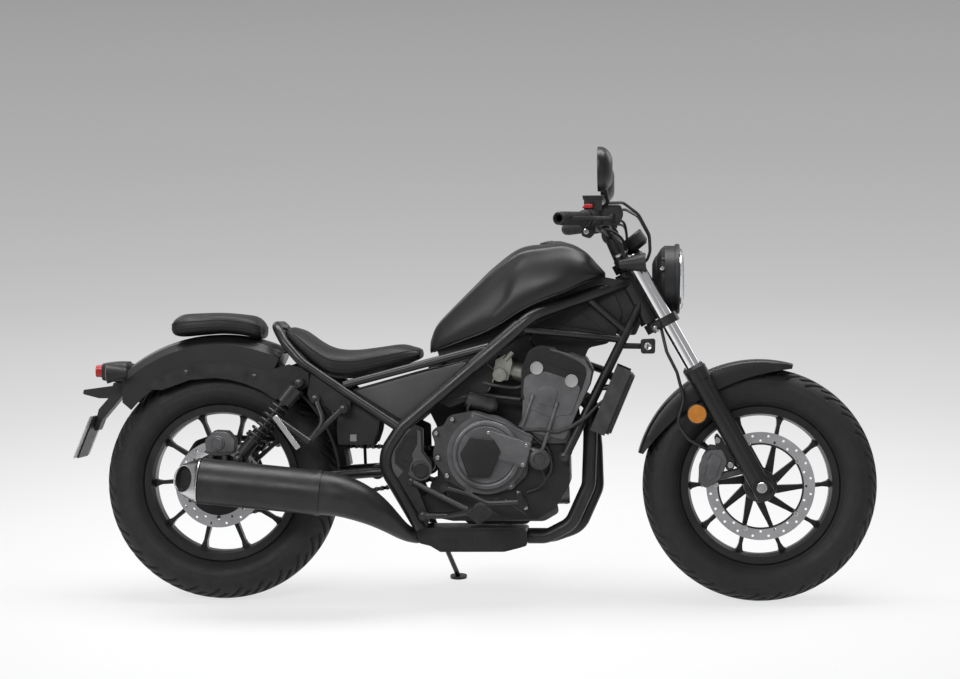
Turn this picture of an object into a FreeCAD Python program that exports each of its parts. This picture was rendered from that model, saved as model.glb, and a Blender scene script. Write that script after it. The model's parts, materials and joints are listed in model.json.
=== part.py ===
"""Cruiser motorcycle, parked on its side stand, as an assembly of separate pieces.

Everything is first laid out upright in the motorcycle's own axes: X forward from the rear axle,
Y to the rider's left, Z up from the ground, in millimetres. The last section leans the finished
machine over onto its side stand and puts the origin under the middle of its bounding box.
"""

import FreeCAD, Part
import functools
import math
import os

V = FreeCAD.Vector

# Driving dimensions of the whole machine
wheelbase = 1490.0
rake_deg = 28.0
fork_angle_deg = 29.3
trail = 112.0
lean_deg = 8.5
steering_stop_deg = 36.0

# Wheels and tyres
front_tyre_radius = 322.0
front_tyre_width = 130.0
rear_tyre_radius = 326.0
rear_tyre_width = 150.0
tyre_crown_radius = 82.0
tyre_wall = 9.0
bead_radius = 203.0
rim_flange_radius = 216.0
rim_wall = 6.0
rim_flange = 8.0
front_rim_width = 88.0
rear_rim_width = 100.0
spoke_count = 10
spoke_hub_width = 25.0
spoke_rim_width = 10.0
spoke_foot_width = 30.0
spoke_depth = 28.0
spoke_rim_deg = 109.0
front_spoke_slant = 28.0
rear_spoke_slant = 18.0
hub_radius = 38.0
axle_radius = 10.0
axle_bore_radius = 6.0
running_gap = 0.05
seat_gap = 0.3

# Brakes and final drive
front_disc_radius = 148.0
front_disc_inner = 114.0
front_disc_offset = 69.0
rear_disc_radius = 120.0
rear_disc_inner = 86.0
rear_disc_offset = 95.0
disc_thickness = 5.0
pad_gap = 1.0
moving_gap = 5.2
chain_pitch = 15.875
chain_offset = 95.0
rear_sprocket_teeth = 40
front_sprocket_teeth = 15
countershaft = (640.0, 378.0)
chain_roller_radius = 5.1
chain_plate_height = 14.6
chain_half_width = 9.0

# Frame tubes, right side: the left side is its mirror image
main_tube_radius = 17.5
down_tube_radius = 13.0
brace_radius = 10.0
seat_rail_radius = 11.0
hoop_radius = 13.0
junction = (868.0, 124.0, 790.0)
pivot = (563.0, 369.0)
pivot_plate_y = 126.0
pivot_plate_thickness = 9.0
engine_hanger = (956.0, 128.0, 405.0)
rear_engine_mount = (560.0, 262.0)
sprocket_wall_y = 80.0
case_half = 100.0

# Exhaust
muffler_y = 207.0

# Fenders and their stays
rear_fender_radius = 412.0
rear_fender_half = 97.0
fender_sheet = 3.0
front_fender_radius = 346.0
front_fender_half = 76.0
stay_thickness = 5.0
stay_outer = rear_fender_half + seat_gap + stay_thickness
plate_sheet = 2.0
fender_end_x = -268.0
fender_front_x = 180.0
arch_radius = 362.0
arch_half = 82.0
luggage_holes = ((-89.0, 634.0), (101.0, 623.0))
luggage_hole_radius = 4.2

# Foot controls
pedal_face = 157.0

# Fork and steering
fork_spacing = 105.0
fork_tube_radius = 20.5
fork_lower_radius = 27.0
fork_lower_top_z = 640.0
fork_tube_top_z = 945.0
crown_lower_z = 757.0
crown_upper_z = 922.0
crown_thickness = 26.0
head_tube_radius = 30.0
head_tube_gap = 3.0
stem_radius = 14.0
bar_radius = 12.7
grip_radius = 17.0
bar_bore_radius = 10.0
bar_bore_depth = 60.0

# Side reflector on each fork leg, and the ignition lock
reflector = (1316.0, 521.0)
reflector_radius = 28.0
reflector_seat = 112.0
key_lock_place = (1183.0, 704.0)

# Side stand
stand_pivot = (592.0, 142.0, 176.0)
stand_foot = (640.0, 236.0)
stand_axis = V(-0.15, 0.96, 0.16).normalize()
stand_fold_deg = 96.0
stand_eye_half = 8.0
stand_ear = 5.0
stand_arm_radius = 5.5
stand_leg_radius = 7.0
stand_pin_radius = 6.0

rear_axle_z = rear_tyre_radius
front_axle_z = front_tyre_radius


# Small builders

def unit(vector):
    return V(vector).normalize()


def rounded_wire(points, bend, closed=False):
    """Straight runs through the points, with every corner turned into a tangent arc."""
    points = [V(*p) for p in points]
    count = len(points)
    bends = bend if isinstance(bend, (list, tuple)) else [bend] * count
    corners = range(count) if closed else range(1, count - 1)
    arcs = {}
    for i in corners:
        before, here, after = points[i - 1], points[i], points[(i + 1) % count]
        into, out = here - before, after - here
        turn = into.getAngle(out)
        if turn < 1e-4 or bends[i] <= 0:
            continue
        reach = min(bends[i] * math.tan(turn / 2), 0.48 * into.Length, 0.48 * out.Length)
        start = here - unit(into) * reach
        end = here + unit(out) * reach
        inward = unit(unit(out) - unit(into))
        radius = reach / math.tan(turn / 2)
        middle = here + inward * (radius / math.cos(turn / 2) - radius)
        arcs[i] = (start, middle, end)
    edges = []
    last = count if closed else count - 1
    for i in range(last):
        j = (i + 1) % count
        start = arcs[i][2] if i in arcs else points[i]
        end = arcs[j][0] if j in arcs else points[j]
        if (end - start).Length > 1e-6:
            edges.append(Part.LineSegment(start, end).toShape())
        if j in arcs and (closed or j < last):
            edges.append(Part.Arc(*arcs[j]).toShape())
    return Part.Wire(Part.__sortEdges__(edges))


def fuse(*shapes):
    """One solid from touching or overlapping ones."""
    parts = [s for s in shapes if s is not None]
    return parts[0] if len(parts) == 1 else parts[0].multiFuse(parts[1:])


def group(*shapes):
    """Separate solids that share a node."""
    solids = [solid for shape in shapes for solid in shape.Solids]
    return Part.makeCompound(solids)


def mirrored(shape):
    """The same piece on the other side of the machine."""
    return shape.mirror(V(0, 0, 0), V(0, 1, 0))


def largest(shape):
    """The biggest solid of a shape, without slivers that a cut left."""
    return max(shape.Solids, key=lambda solid: solid.Volume)


def both_sides(shape):
    return group(shape, mirrored(shape))


def rod(start, end, radius, end_radius=None):
    """A round bar, or a cone if a second radius is given."""
    start, end = V(*start), V(*end)
    along = end - start
    if end_radius is None or abs(end_radius - radius) < 1e-6:
        return Part.makeCylinder(radius, along.Length, start, along)
    return Part.makeCone(radius, end_radius, along.Length, start, along)


def tube(points, radius, bend=70.0):
    """A bent round tube."""
    path = rounded_wire(points, bend)
    start = V(*points[0])
    section = Part.Wire(Part.makeCircle(radius, start, V(*points[1]) - start))
    return path.makePipeShell([section], True, True)


def side_plate(outline, y_low, y_high, corner=0.0):
    """A flat plate: an outline of (x, z) points, thick from y_low to y_high."""
    wire = rounded_wire([(x, y_low, z) for x, z in outline], corner, closed=True)
    return Part.Face(wire).extrude(V(0, y_high - y_low, 0))


def tapered_pipe(stations):
    """A smooth pipe through round sections, each with a centre, a direction and a radius."""
    wires = []
    for centre, direction, radius in stations:
        wire = Part.Wire(Part.makeCircle(radius, V(0, 0, 0), V(1, 0, 0)))
        wire.Placement = FreeCAD.Placement(V(*centre), FreeCAD.Rotation(V(1, 0, 0), V(*direction)))
        wires.append(wire)
    return Part.makeLoft(wires, True, False, False)


def turned(profile, centre, axis, start_deg=0.0, sweep_deg=360.0):
    """A revolved solid: a profile of (along the axis, radius) points turned about the axis."""
    centre, axis = V(*centre), unit(V(*axis))
    outward = V(0, 0, 1) if abs(axis.z) < 0.9 else V(1, 0, 0)
    outward = unit(outward - axis * outward.dot(axis))
    points = [centre + axis * a + outward * r for a, r in profile]
    face = Part.Face(Part.makePolygon(points + [points[0]]))
    if start_deg:
        face = face.rotated(centre, axis, start_deg)
    return face.revolve(centre, axis, sweep_deg)


def axle_ring(profile, x, z, start_deg=0.0, sweep_deg=360.0):
    """A ring about an axle: a profile of (y, radius) points."""
    return turned(profile, (x, 0, z), (0, 1, 0), start_deg, sweep_deg)


def box(x_low, x_high, y_low, y_high, z_low, z_high):
    return Part.makeBox(x_high - x_low, y_high - y_low, z_high - z_low, V(x_low, y_low, z_low))


def rounded_section(x, z_low, z_high, half, belly=0.4, squareness=2.5, count=20):
    """A closed upright cross-section at x, flatter than an ellipse, widest at the belly height."""
    z_belly = z_low + belly * (z_high - z_low)
    points = []
    for i in range(count):
        angle = 2 * math.pi * i / count
        c, s = math.cos(angle), math.sin(angle)
        y = half * math.copysign(abs(c) ** (2 / squareness), c)
        reach = z_high - z_belly if s > 0 else z_belly - z_low
        z = z_belly + math.copysign(abs(s) ** (2 / squareness), s) * reach
        points.append(V(x, y, z))
    curve = Part.BSplineCurve()
    curve.interpolate(points, PeriodicFlag=True)
    return Part.Wire(curve.toShape())


def lofted(stations, belly=0.4, squareness=2.5):
    """A smooth solid through upright sections (x, low z, high z, half width)."""
    wires = [rounded_section(x, low, high, half, belly, squareness) for x, low, high, half in stations]
    return Part.makeLoft(wires, True, False, False)


def wheel_point(x, z, angle_deg, radius, y=0.0):
    """A point at an angle round an axle, measured from forward, up."""
    angle = math.radians(angle_deg)
    return (x + radius * math.cos(angle), y, z + radius * math.sin(angle))


# Steering geometry

def steer_x(z):
    """Where the steering axis is at a height."""
    return wheelbase + trail - z * math.tan(math.radians(rake_deg))


def fork_x(z):
    """Where the fork legs' axis is at a height."""
    return wheelbase - (z - front_axle_z) * math.tan(math.radians(fork_angle_deg))


steering_axis = V(-math.sin(math.radians(rake_deg)), 0, math.cos(math.radians(rake_deg)))
steering_forward = V(math.cos(math.radians(rake_deg)), 0, math.sin(math.radians(rake_deg)))
fork_axis = V(-math.sin(math.radians(fork_angle_deg)), 0, math.cos(math.radians(fork_angle_deg)))


def on_steering(z, forward=0.0, left=0.0, up=0.0):
    """A point given from the steering axis at a height: forward, left and up along the axis."""
    point = V(steer_x(z), left, z) + steering_forward * forward + steering_axis * up
    return (point.x, point.y, point.z)


def on_fork(z, side=-1, forward=0.0, left=0.0):
    """A point on a fork leg's axis at a height; side is -1 for right and 1 for left."""
    across = V(math.cos(math.radians(fork_angle_deg)), 0, math.sin(math.radians(fork_angle_deg)))
    point = V(fork_x(z), side * fork_spacing + left, z) + across * forward
    return (point.x, point.y, point.z)


# Wheels

def tyre(x, z, radius, width, rim_width):
    """A tubeless tyre: round crown, bulging sidewalls, open inside down to the beads."""
    half = width / 2
    shoulder_y = half * 0.80
    shoulder_r = radius - (tyre_crown_radius - math.sqrt(tyre_crown_radius**2 - shoulder_y**2))
    flange_r = rim_flange_radius + 1
    bulge_r = flange_r + (shoulder_r - flange_r) * 0.56
    bead_y = rim_width / 2 - rim_flange - seat_gap
    inner_r = radius - tyre_wall * 1.6
    inner_shoulder_r = shoulder_r - tyre_wall * 1.3

    def at(y, r):
        return V(x, y, z + r)

    edges = [
        Part.Arc(at(-shoulder_y, shoulder_r), at(0, radius), at(shoulder_y, shoulder_r)).toShape(),
        Part.Arc(at(shoulder_y, shoulder_r), at(half, bulge_r), at(bead_y, flange_r)).toShape(),
        Part.makePolygon([
            at(bead_y, flange_r),
            at(bead_y, bead_radius + seat_gap),
            at(bead_y - tyre_wall, bead_radius + seat_gap),
            at(half - tyre_wall, bulge_r),
            at(shoulder_y - tyre_wall, inner_shoulder_r),
            at(0, inner_r),
            at(-shoulder_y + tyre_wall, inner_shoulder_r),
            at(-half + tyre_wall, bulge_r),
            at(-bead_y + tyre_wall, bead_radius + seat_gap),
            at(-bead_y, bead_radius + seat_gap),
            at(-bead_y, flange_r),
        ]),
        Part.Arc(at(-bead_y, flange_r), at(-half, bulge_r), at(-shoulder_y, shoulder_r)).toShape(),
    ]
    loose = [edge for part in edges for edge in part.Edges]
    face = Part.Face(Part.Wire(Part.__sortEdges__(loose)))
    return face.revolve(V(x, 0, z), V(0, 1, 0), 360)


def spoke_line(x, z, rim_deg, slant):
    """A spoke's middle line, which leaves the hub to one side and meets the rim at an angle."""
    root = V(*wheel_point(x, z, rim_deg - slant, hub_radius * 0.85))
    tip = V(*wheel_point(x, z, rim_deg, bead_radius - rim_wall - 2))
    return root, tip


def spoke(x, z, rim_deg, slant):
    """One spoke: wide at the hub, slim in the middle, flared to a foot on the rim well."""
    root, tip = spoke_line(x, z, rim_deg, slant)
    along = unit(tip - root)
    across = V(-along.z, 0, along.x)
    length = (tip - root).Length
    outline = [(0.0, spoke_hub_width / 2), (0.45 * length, spoke_rim_width * 0.65),
               (length - 24, spoke_rim_width / 2), (length - 10, spoke_rim_width / 2 + 3),
               (length, spoke_foot_width / 2)]
    corners = [root + along * a + across * b for a, b in outline]
    corners += [root + along * a - across * b for a, b in reversed(outline)]
    base = [c - V(0, spoke_depth / 2, 0) for c in corners]
    return Part.Face(Part.makePolygon(base + [base[0]])).extrude(V(0, spoke_depth, 0))


def rim(x, z, width, hub_right, hub_left, slant, disc_boss_r=0.0, disc_face=0.0):
    """Cast wheel: rim well with two flanges, hub, and slanted spokes."""
    half = width / 2
    well_half = half - rim_flange
    well = axle_ring([
        (-half, bead_radius - rim_wall), (-half, rim_flange_radius), (-well_half, rim_flange_radius),
        (-well_half, bead_radius), (well_half, bead_radius), (well_half, rim_flange_radius),
        (half, rim_flange_radius), (half, bead_radius - rim_wall),
        (half * 0.45, bead_radius - rim_wall * 2), (-half * 0.45, bead_radius - rim_wall * 2),
    ], x, z)
    pieces = [rod((x, -hub_right, z), (x, hub_left, z), hub_radius)]
    for i in range(spoke_count):
        rim_deg = spoke_rim_deg + i * 360.0 / spoke_count
        pieces.append(spoke(x, z, rim_deg, slant))
        if disc_boss_r and i % 2 == 0:
            root, tip = spoke_line(x, z, rim_deg, slant)
            reach = math.sqrt(disc_boss_r**2 - (hub_radius * 0.85 * math.sin(math.radians(slant)))**2)
            spot = root + unit(tip - root) * (reach - hub_radius * 0.85 * math.cos(math.radians(slant)))
            pieces.append(rod((spot.x, -spoke_depth / 2 + 3, spot.z), (spot.x, -disc_face, spot.z), 8.0))
    bore = rod((x, -hub_right - 1, z), (x, hub_left + 1, z), axle_radius + running_gap)
    return fuse(well, *pieces).cut(bore)


def disc(x, z, outer, inner, offset, holes):
    """Brake disc with two staggered rings of drilled holes."""
    plate = axle_ring([
        (-offset - disc_thickness / 2, inner), (-offset - disc_thickness / 2, outer),
        (-offset + disc_thickness / 2, outer), (-offset + disc_thickness / 2, inner),
    ], x, z)
    drills = []
    for i in range(holes):
        for ring, shift in ((0.30, 0.0), (0.70, 0.5)):
            angle = (i + shift) * 360.0 / holes
            radius = inner + ring * (outer - inner)
            start = wheel_point(x, z, angle, radius, -offset - disc_thickness)
            end = wheel_point(x, z, angle, radius, -offset + disc_thickness)
            drills.append(rod(start, end, 3.4))
    return plate.cut(Part.makeCompound(drills))


def front_wheel():
    x, z = wheelbase, front_axle_z
    boss_face = front_disc_offset - disc_thickness / 2
    return {
        "front_tyre": tyre(x, z, front_tyre_radius, front_tyre_width, front_rim_width),
        "front_rim": rim(x, z, front_rim_width, 52.0, 52.0, front_spoke_slant, front_disc_inner + 8, boss_face),
        "front_disc": disc(x, z, front_disc_radius, front_disc_inner, front_disc_offset, 20),
    }


def pitch_radius(teeth):
    return chain_pitch / (2 * math.sin(math.pi / teeth))


def sprocket(x, z, teeth, thickness, bore, y):
    """Toothed wheel whose tooth roots stay just clear of the chain's rollers."""
    root = pitch_radius(teeth) - chain_roller_radius - 0.4
    points = []
    for i in range(teeth):
        for share, radius in ((0.12, root - 5), (0.38, root), (0.62, root), (0.88, root - 5)):
            angle = (i + share) * 360.0 / teeth
            points.append(wheel_point(x, z, angle, radius, y - thickness / 2))
    blank = Part.Face(Part.makePolygon([V(*p) for p in points + [points[0]]]))
    plate = blank.extrude(V(0, thickness, 0))
    return plate.cut(rod((x, y - thickness, z), (x, y + thickness, z), bore))


def rear_wheel():
    x, z = 0.0, rear_axle_z
    carrier_face = rear_disc_offset - disc_thickness / 2
    sprocket_y = chain_offset
    wheel = rim(x, z, rear_rim_width, 88.0, 84.0, rear_spoke_slant)
    disc_carrier = axle_ring([
        (-carrier_face, hub_radius - 8), (-carrier_face, rear_disc_inner + 9),
        (-carrier_face + 6, rear_disc_inner + 9), (-carrier_face + 12, hub_radius - 8),
    ], x, z)
    sprocket_carrier = axle_ring([
        (sprocket_y - 4, hub_radius - 8), (sprocket_y - 4, 66), (70, 66), (60, hub_radius - 8),
    ], x, z)
    toothed = sprocket(x, z, rear_sprocket_teeth, 6.0, hub_radius - 6, sprocket_y)
    windows = [
        rod(wheel_point(x, z, i * 60 + 30, 78, sprocket_y - 5),
            wheel_point(x, z, i * 60 + 30, 78, sprocket_y + 5), 11.0)
        for i in range(6)
    ]
    return {
        "rear_tyre": tyre(x, z, rear_tyre_radius, rear_tyre_width, rear_rim_width),
        "rear_rim": fuse(wheel, disc_carrier, sprocket_carrier).cut(
            rod((x, -120, z), (x, 120, z), axle_radius + running_gap)),
        "rear_disc": disc(x, z, rear_disc_radius, rear_disc_inner, rear_disc_offset, 16),
        "rear_sprocket": toothed.cut(Part.makeCompound(windows)),
    }


# Frame

def right_rail():
    """Main tube from the head down to the swingarm pivot, with its braces and pivot plate."""
    main = tube([
        on_steering(884, left=-14), (junction[0], -junction[1], junction[2]),
        (512, -130, 486), (452, -130, 395), (562, -130, 208),
    ], main_tube_radius, [0, 120, 70, 90, 0])
    seat_rail = tube([(790, -125, 716), (560, -118, 655), (350, -112, 600)], seat_rail_radius, 300)
    lower_brace = tube([(840, -125, 752), (1112, -43, 723)], brace_radius)
    diagonal = tube([(1012, -62, 842), (1120, -37, 747)], brace_radius)
    down_tube = tube([on_steering(824, left=-16), (engine_hanger[0], -engine_hanger[1], engine_hanger[2])],
                     down_tube_radius)
    eye = rod((engine_hanger[0], -engine_hanger[1] - 9, engine_hanger[2]),
              (engine_hanger[0], -case_half - seat_gap, engine_hanger[2]), down_tube_radius + 2)
    plate = side_plate([
        (536, 498), (570, 483), (572, 417), (592, 392), (596, 364), (572, 341), (548, 332),
        (582, 248), (586, 226), (562, 200), (470, 372), (466, 420),
    ], -pivot_plate_y - pivot_plate_thickness, -pivot_plate_y, 10)
    rear_mount = rod((rear_engine_mount[0], -pivot_plate_y - 2, rear_engine_mount[1]),
                     (rear_engine_mount[0], -case_half - seat_gap, rear_engine_mount[1]), 9.0)
    pocket = side_plate([(500, 388), (526, 368), (540, 372), (534, 414), (548, 440), (548, 466), (526, 458),
                         (500, 416)], -pivot_plate_y - pivot_plate_thickness, -pivot_plate_y - pivot_plate_thickness + 3, 6)
    bore = rod((pivot[0], -160, pivot[1]), (pivot[0], -90, pivot[1]), 12.0)
    top, low = V(junction[0], -junction[1], junction[2]), V(512, -130, 486)
    sleeve = rod(tuple(top + (low - top) * 0.09), tuple(top + (low - top) * 0.46), main_tube_radius + 3)
    return fuse(main, seat_rail, lower_brace, diagonal, down_tube, eye, plate, rear_mount,
                sleeve).cut(pocket).cut(bore)


def head_tube():
    low = on_steering(crown_lower_z, up=crown_thickness / 2 + head_tube_gap)
    high = on_steering(crown_upper_z, up=-crown_thickness / 2 - head_tube_gap)
    solid = rod(low, high, head_tube_radius)
    gusset = side_plate([
        (steer_x(900) - 80, 850), (steer_x(880) - 8, 880), (steer_x(790) - 8, 782),
        (steer_x(790) - 50, 772), (steer_x(790) - 85, 800),
    ], -20, 20, 8)
    return solid, gusset, rod(low, high, stem_radius + running_gap)


@functools.lru_cache
def frame_solid():
    rail = right_rail()
    solid, gusset, stem_hole = head_tube()
    crossings = [
        rod((484, -120, 454), (484, 120, 454), 12.0),
        rod((556, -128, 222), (556, 128, 222), 10.0),
        rod((junction[0] - 20, -120, junction[2] - 22), (junction[0] - 20, 120, junction[2] - 22), 11.0),
        rod((612, -118, 669), (612, 118, 669), 9.0),
    ]
    whole = fuse(solid, gusset, rail, mirrored(rail), stand_bracket(), *crossings)
    return whole.cut(stem_hole)


def frame():
    return {"frame": frame_solid()}


@functools.lru_cache
def seat_hoop():
    """Rear loop: from one main tube up behind the rider's seat, across, and down the other side."""
    outside = stay_outer + seat_gap + hoop_radius
    right = [(500, -130, 486), (340, -outside, 590), (232, -outside, 664), (186, -104, 716), (158, -80, 762)]
    left = [(x, -y, z) for x, y, z in reversed(right)]
    loop = tube(right + left, hoop_radius, [0, 260, 120, 90, 40, 40, 90, 120, 260, 0])
    tab = side_plate([(352, 592), (262, 640), (250, 575), (262, 549), (286, 549), (338, 522), (366, 526), (372, 572)],
                     -outside - 6, -outside + 4, 9)
    loop = fuse(loop, tab, mirrored(tab))
    return {"seat_hoop": loop.cut(frame_solid())}


def frame_covers():
    """Flat plastic covers in the trellis, behind the head, and the long guards on the main tubes."""
    triangle = side_plate([(895, 765), (985, 812), (1085, 752), (1080, 738)], -66, -60, 5)
    side_cover = side_plate([(385, 598), (555, 644), (700, 684), (686, 650), (520, 520), (502, 520)],
                            -108, -100, 6)
    studs = [rod((905, -62, 768), (905, -92, 760), 4.0), rod((1072, -62, 742), (1072, -40, 740), 4.0)]
    covers = fuse(triangle, *studs).cut(frame_solid()), side_cover.cut(frame_solid())
    return {"side_covers": group(*[both_sides(largest(cover)) for cover in covers])}


# Bodywork

def fuel_tank():
    stations = [
        (584, 688, 730, 58), (600, 694, 764, 70), (640, 706, 808, 84), (700, 724, 868, 100),
        (760, 746, 926, 115), (830, 790, 976, 130), (900, 826, 989, 138), (960, 850, 992, 136),
        (1010, 878, 968, 120), (1045, 891, 932, 96), (1066, 898, 908, 62),
    ]
    body = lofted(stations, belly=0.38, squareness=2.6)
    tunnel = tube([(560, 0, 640), (1120, 0, 850)], 48.0)
    cap = rod((930, 0, 985), (936, 0, 1003), 36.0)
    front_mount = rod((1052, 0, 845), (1052, 0, 905), 12.0)
    rear_mount = rod((612, 0, 660), (612, 0, 702), 14.0)
    tank = fuse(body.cut(tunnel), cap, front_mount, rear_mount).cut(frame_solid())
    return {"fuel_tank": largest(tank)}


def seats():
    rider = lofted([
        (186, 728, 752, 82), (200, 716, 763, 98), (232, 690, 748, 116), (272, 660, 714, 130),
        (314, 632, 695, 132), (368, 634, 693, 124), (450, 650, 705, 104), (508, 664, 711, 88),
        (545, 674, 706, 78), (560, 680, 698, 70),
    ], belly=0.5, squareness=3.0)
    passenger = lofted([
        (-140, 752, 768, 62), (-124, 738, 781, 84), (-80, 738, 793, 98), (-20, 740, 797, 102),
        (50, 730, 789, 98), (96, 722, 780, 88), (116, 728, 762, 66),
    ], belly=0.5, squareness=3.0)
    passenger = largest(passenger.cut(fender_envelope(0, rear_axle_z, rear_fender_radius, rear_fender_half)))
    feet = []
    for side in (-1, 1):
        feet.append(rod((400, side * 113, 606), (400, side * 96, 668), 10.0))
        feet.append(rod((274, side * 114, 626), (270, side * 96, 690), 11.0))
    rider = largest(fuse(rider, *feet).cut(frame_solid()).cut(seat_hoop()["seat_hoop"]))
    return {"rider_seat": rider, "passenger_seat": passenger}


def fender_outline(radius, half):
    """Outer half-section of a wheel arch, from one skirt over the crown to the other."""
    crown = radius - half * 0.28
    return [
        (-half, crown), (-half * 0.72, radius - half * 0.08), (-half * 0.35, radius),
        (half * 0.35, radius), (half * 0.72, radius - half * 0.08), (half, crown),
    ]


def fender_envelope(x, z, radius, half):
    """The space that an arch fills, with the seat gap round it."""
    outline = fender_outline(radius + seat_gap, half + seat_gap)
    return axle_ring([(-half - seat_gap, 200)] + outline + [(half + seat_gap, 200)], x, z, -70, 140)


def fender_shell(x, z, radius, half, skirt, sheet, start_deg, sweep_deg):
    """A wheel arch with a rounded crown: a U-shaped sheet swept about the axle."""
    outer = [(-half, skirt)] + fender_outline(radius, half) + [(half, skirt)]
    inner = [(half - sheet, skirt)] + fender_outline(radius - sheet, half - sheet)[::-1] + [(-half + sheet, skirt)]
    return axle_ring(outer + inner, x, z, start_deg, sweep_deg)


def rear_bodywork():
    front_deg = math.degrees(math.asin(fender_front_x / rear_fender_radius))
    main = fender_shell(0, rear_axle_z, rear_fender_radius, rear_fender_half, 318.0, fender_sheet, -50, 50 + front_deg)
    main = main.cut(box(-420, fender_end_x, -120, 120, 400, 760))
    inner = fender_shell(0, rear_axle_z, arch_radius, arch_half, 332.0, fender_sheet, 24, 58)
    step = axle_ring([(-arch_half, arch_radius - 6), (-arch_half, rear_fender_radius - 12),
                      (arch_half, rear_fender_radius - 12), (arch_half, arch_radius - 6)],
                     0, rear_axle_z, 24, 2)
    through = [rod((x, -130, z), (x, 130, z), luggage_hole_radius + 0.8) for x, z in luggage_holes]
    main = main.cut(Part.makeCompound(through))
    stay = side_plate([
        (-212, 588), (-175, 614), (-133, 636), (-64, 660), (-8, 666), (48, 660), (100, 645), (145, 641),
        (196, 657), (250, 640), (252, 600), (236, 588), (200, 576), (166, 555), (117, 586),
        (75, 603), (34, 614), (-8, 619), (-78, 614), (-156, 586),
    ], -stay_outer, -rear_fender_half - seat_gap, 12)
    holes = [rod((x, -130, z), (x, -80, z), luggage_hole_radius) for x, z in luggage_holes]
    stay = stay.cut(Part.makeCompound(holes))
    return {"rear_fender": fuse(main, inner, step), "fender_stays": both_sides(stay)}


def tail():
    lamp_shell = lofted_along_x([(-340, 634, 24, 34), (-305, 634, 29, 42), (fender_end_x - seat_gap, 632, 31, 46)])
    lens = lofted_along_x([(-358, 636, 17, 30), (-340.3, 636, 18, 31)])
    signals = []
    for side in (-1, 1):
        signals.append(fuse(
            rod((-304, side * 124, 632), (-250, side * 122, 634), 28.0, 13.0),
            rod((-284, side * 38, 632), (-280, side * 122, 633), 8.0)).cut(lamp_shell))
    neck = side_plate([(-308, 605), (-272, 601), (-276, 575), (-340, 500), (-352, 470), (-366, 470), (-350, 530),
                       (-318, 566)], -26, 26, 5)
    lamp_hood = side_plate([(-394, 584), (-396, 572), (-350, 560), (-312, 560), (-306, 596)], -20, 20, 4)
    plate_low, plate_high = V(-405, 0, 396), V(-358, 0, 512)
    licence = tilted_plate(plate_low, plate_high, 200.0, plate_sheet)
    inward = unit(V(-(plate_high - plate_low).z, 0, (plate_high - plate_low).x)) * -1
    backing = tilted_plate(plate_low + inward * (4 + seat_gap), plate_high + inward * (4 + seat_gap), 120.0, 4.0)
    carrier = fuse(neck, lamp_hood, backing).cut(lamp_shell)
    return {
        "tail_lamp": lamp_shell,
        "tail_lens": lens,
        "rear_signals": group(*signals),
        "plate_carrier": largest(carrier),
        "licence_plate": licence,
    }


def lofted_along_x(stations):
    """A rounded box through (x, centre z, half height, half width) sections."""
    wires = [rounded_section(x, z - height, z + height, half, 0.5, 3.4) for x, z, height, half in stations]
    return Part.makeLoft(wires, True, False, False)


def tilted_plate(low, high, width, thickness):
    """A flat plate, width across the machine, from a low edge to a high edge."""
    rise = high - low
    normal = unit(V(-rise.z, 0, rise.x))
    corners = [low - V(0, width / 2, 0), low + V(0, width / 2, 0),
               high + V(0, width / 2, 0), high - V(0, width / 2, 0)]
    return Part.Face(Part.makePolygon(corners + [corners[0]])).extrude(normal * thickness)


# Engine

cylinder_lean_deg = 13.0
cylinder_foot = (884.0, 405.0)


def on_cylinder(across, up):
    """An (x, z) point in the cylinder's own directions, from its foot."""
    lean = math.radians(cylinder_lean_deg)
    return (cylinder_foot[0] + across * math.cos(lean) + up * math.sin(lean),
            cylinder_foot[1] - across * math.sin(lean) + up * math.cos(lean))


@functools.lru_cache
def engine():
    case = side_plate([
        (546, 246), (548, 280), (582, 300), (588, 330), (612, 352), (612, 440), (650, 492), (720, 510),
        (820, 480), (930, 452), (968, 430), (970, 330), (930, 262), (880, 232), (650, 226),
    ], -case_half, case_half, 12)
    pan = side_plate([(660, 240), (690, 216), (850, 216), (880, 240)], -70, 70, 8)
    oil_filter = rod((920, -20, 302), (966, -20, 304), 34.0)
    barrel = side_plate([on_cylinder(-66, 40), on_cylinder(-66, 152), on_cylinder(66, 152),
                         on_cylinder(66, 40)], -96, 96, 10)
    head = side_plate([on_cylinder(-74, 150), on_cylinder(-92, 228), on_cylinder(96, 228),
                       on_cylinder(78, 150)], -104, 104, 8)
    cover = side_plate([on_cylinder(-90, 216), on_cylinder(-92, 262), on_cylinder(-66, 296),
                        on_cylinder(-20, 300), on_cylinder(0, 280), on_cylinder(24, 298),
                        on_cylinder(66, 292), on_cylinder(94, 262), on_cylinder(94, 216)], -98, 98, 12)
    sprocket_room = box(520, 704, sprocket_wall_y, case_half + 20, 300, 452)
    case = fuse(case, pan, oil_filter).cut(sprocket_room)
    top = fuse(barrel, head, cover)
    return {"crankcase": case.cut(barrel), "cylinders": top}


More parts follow.
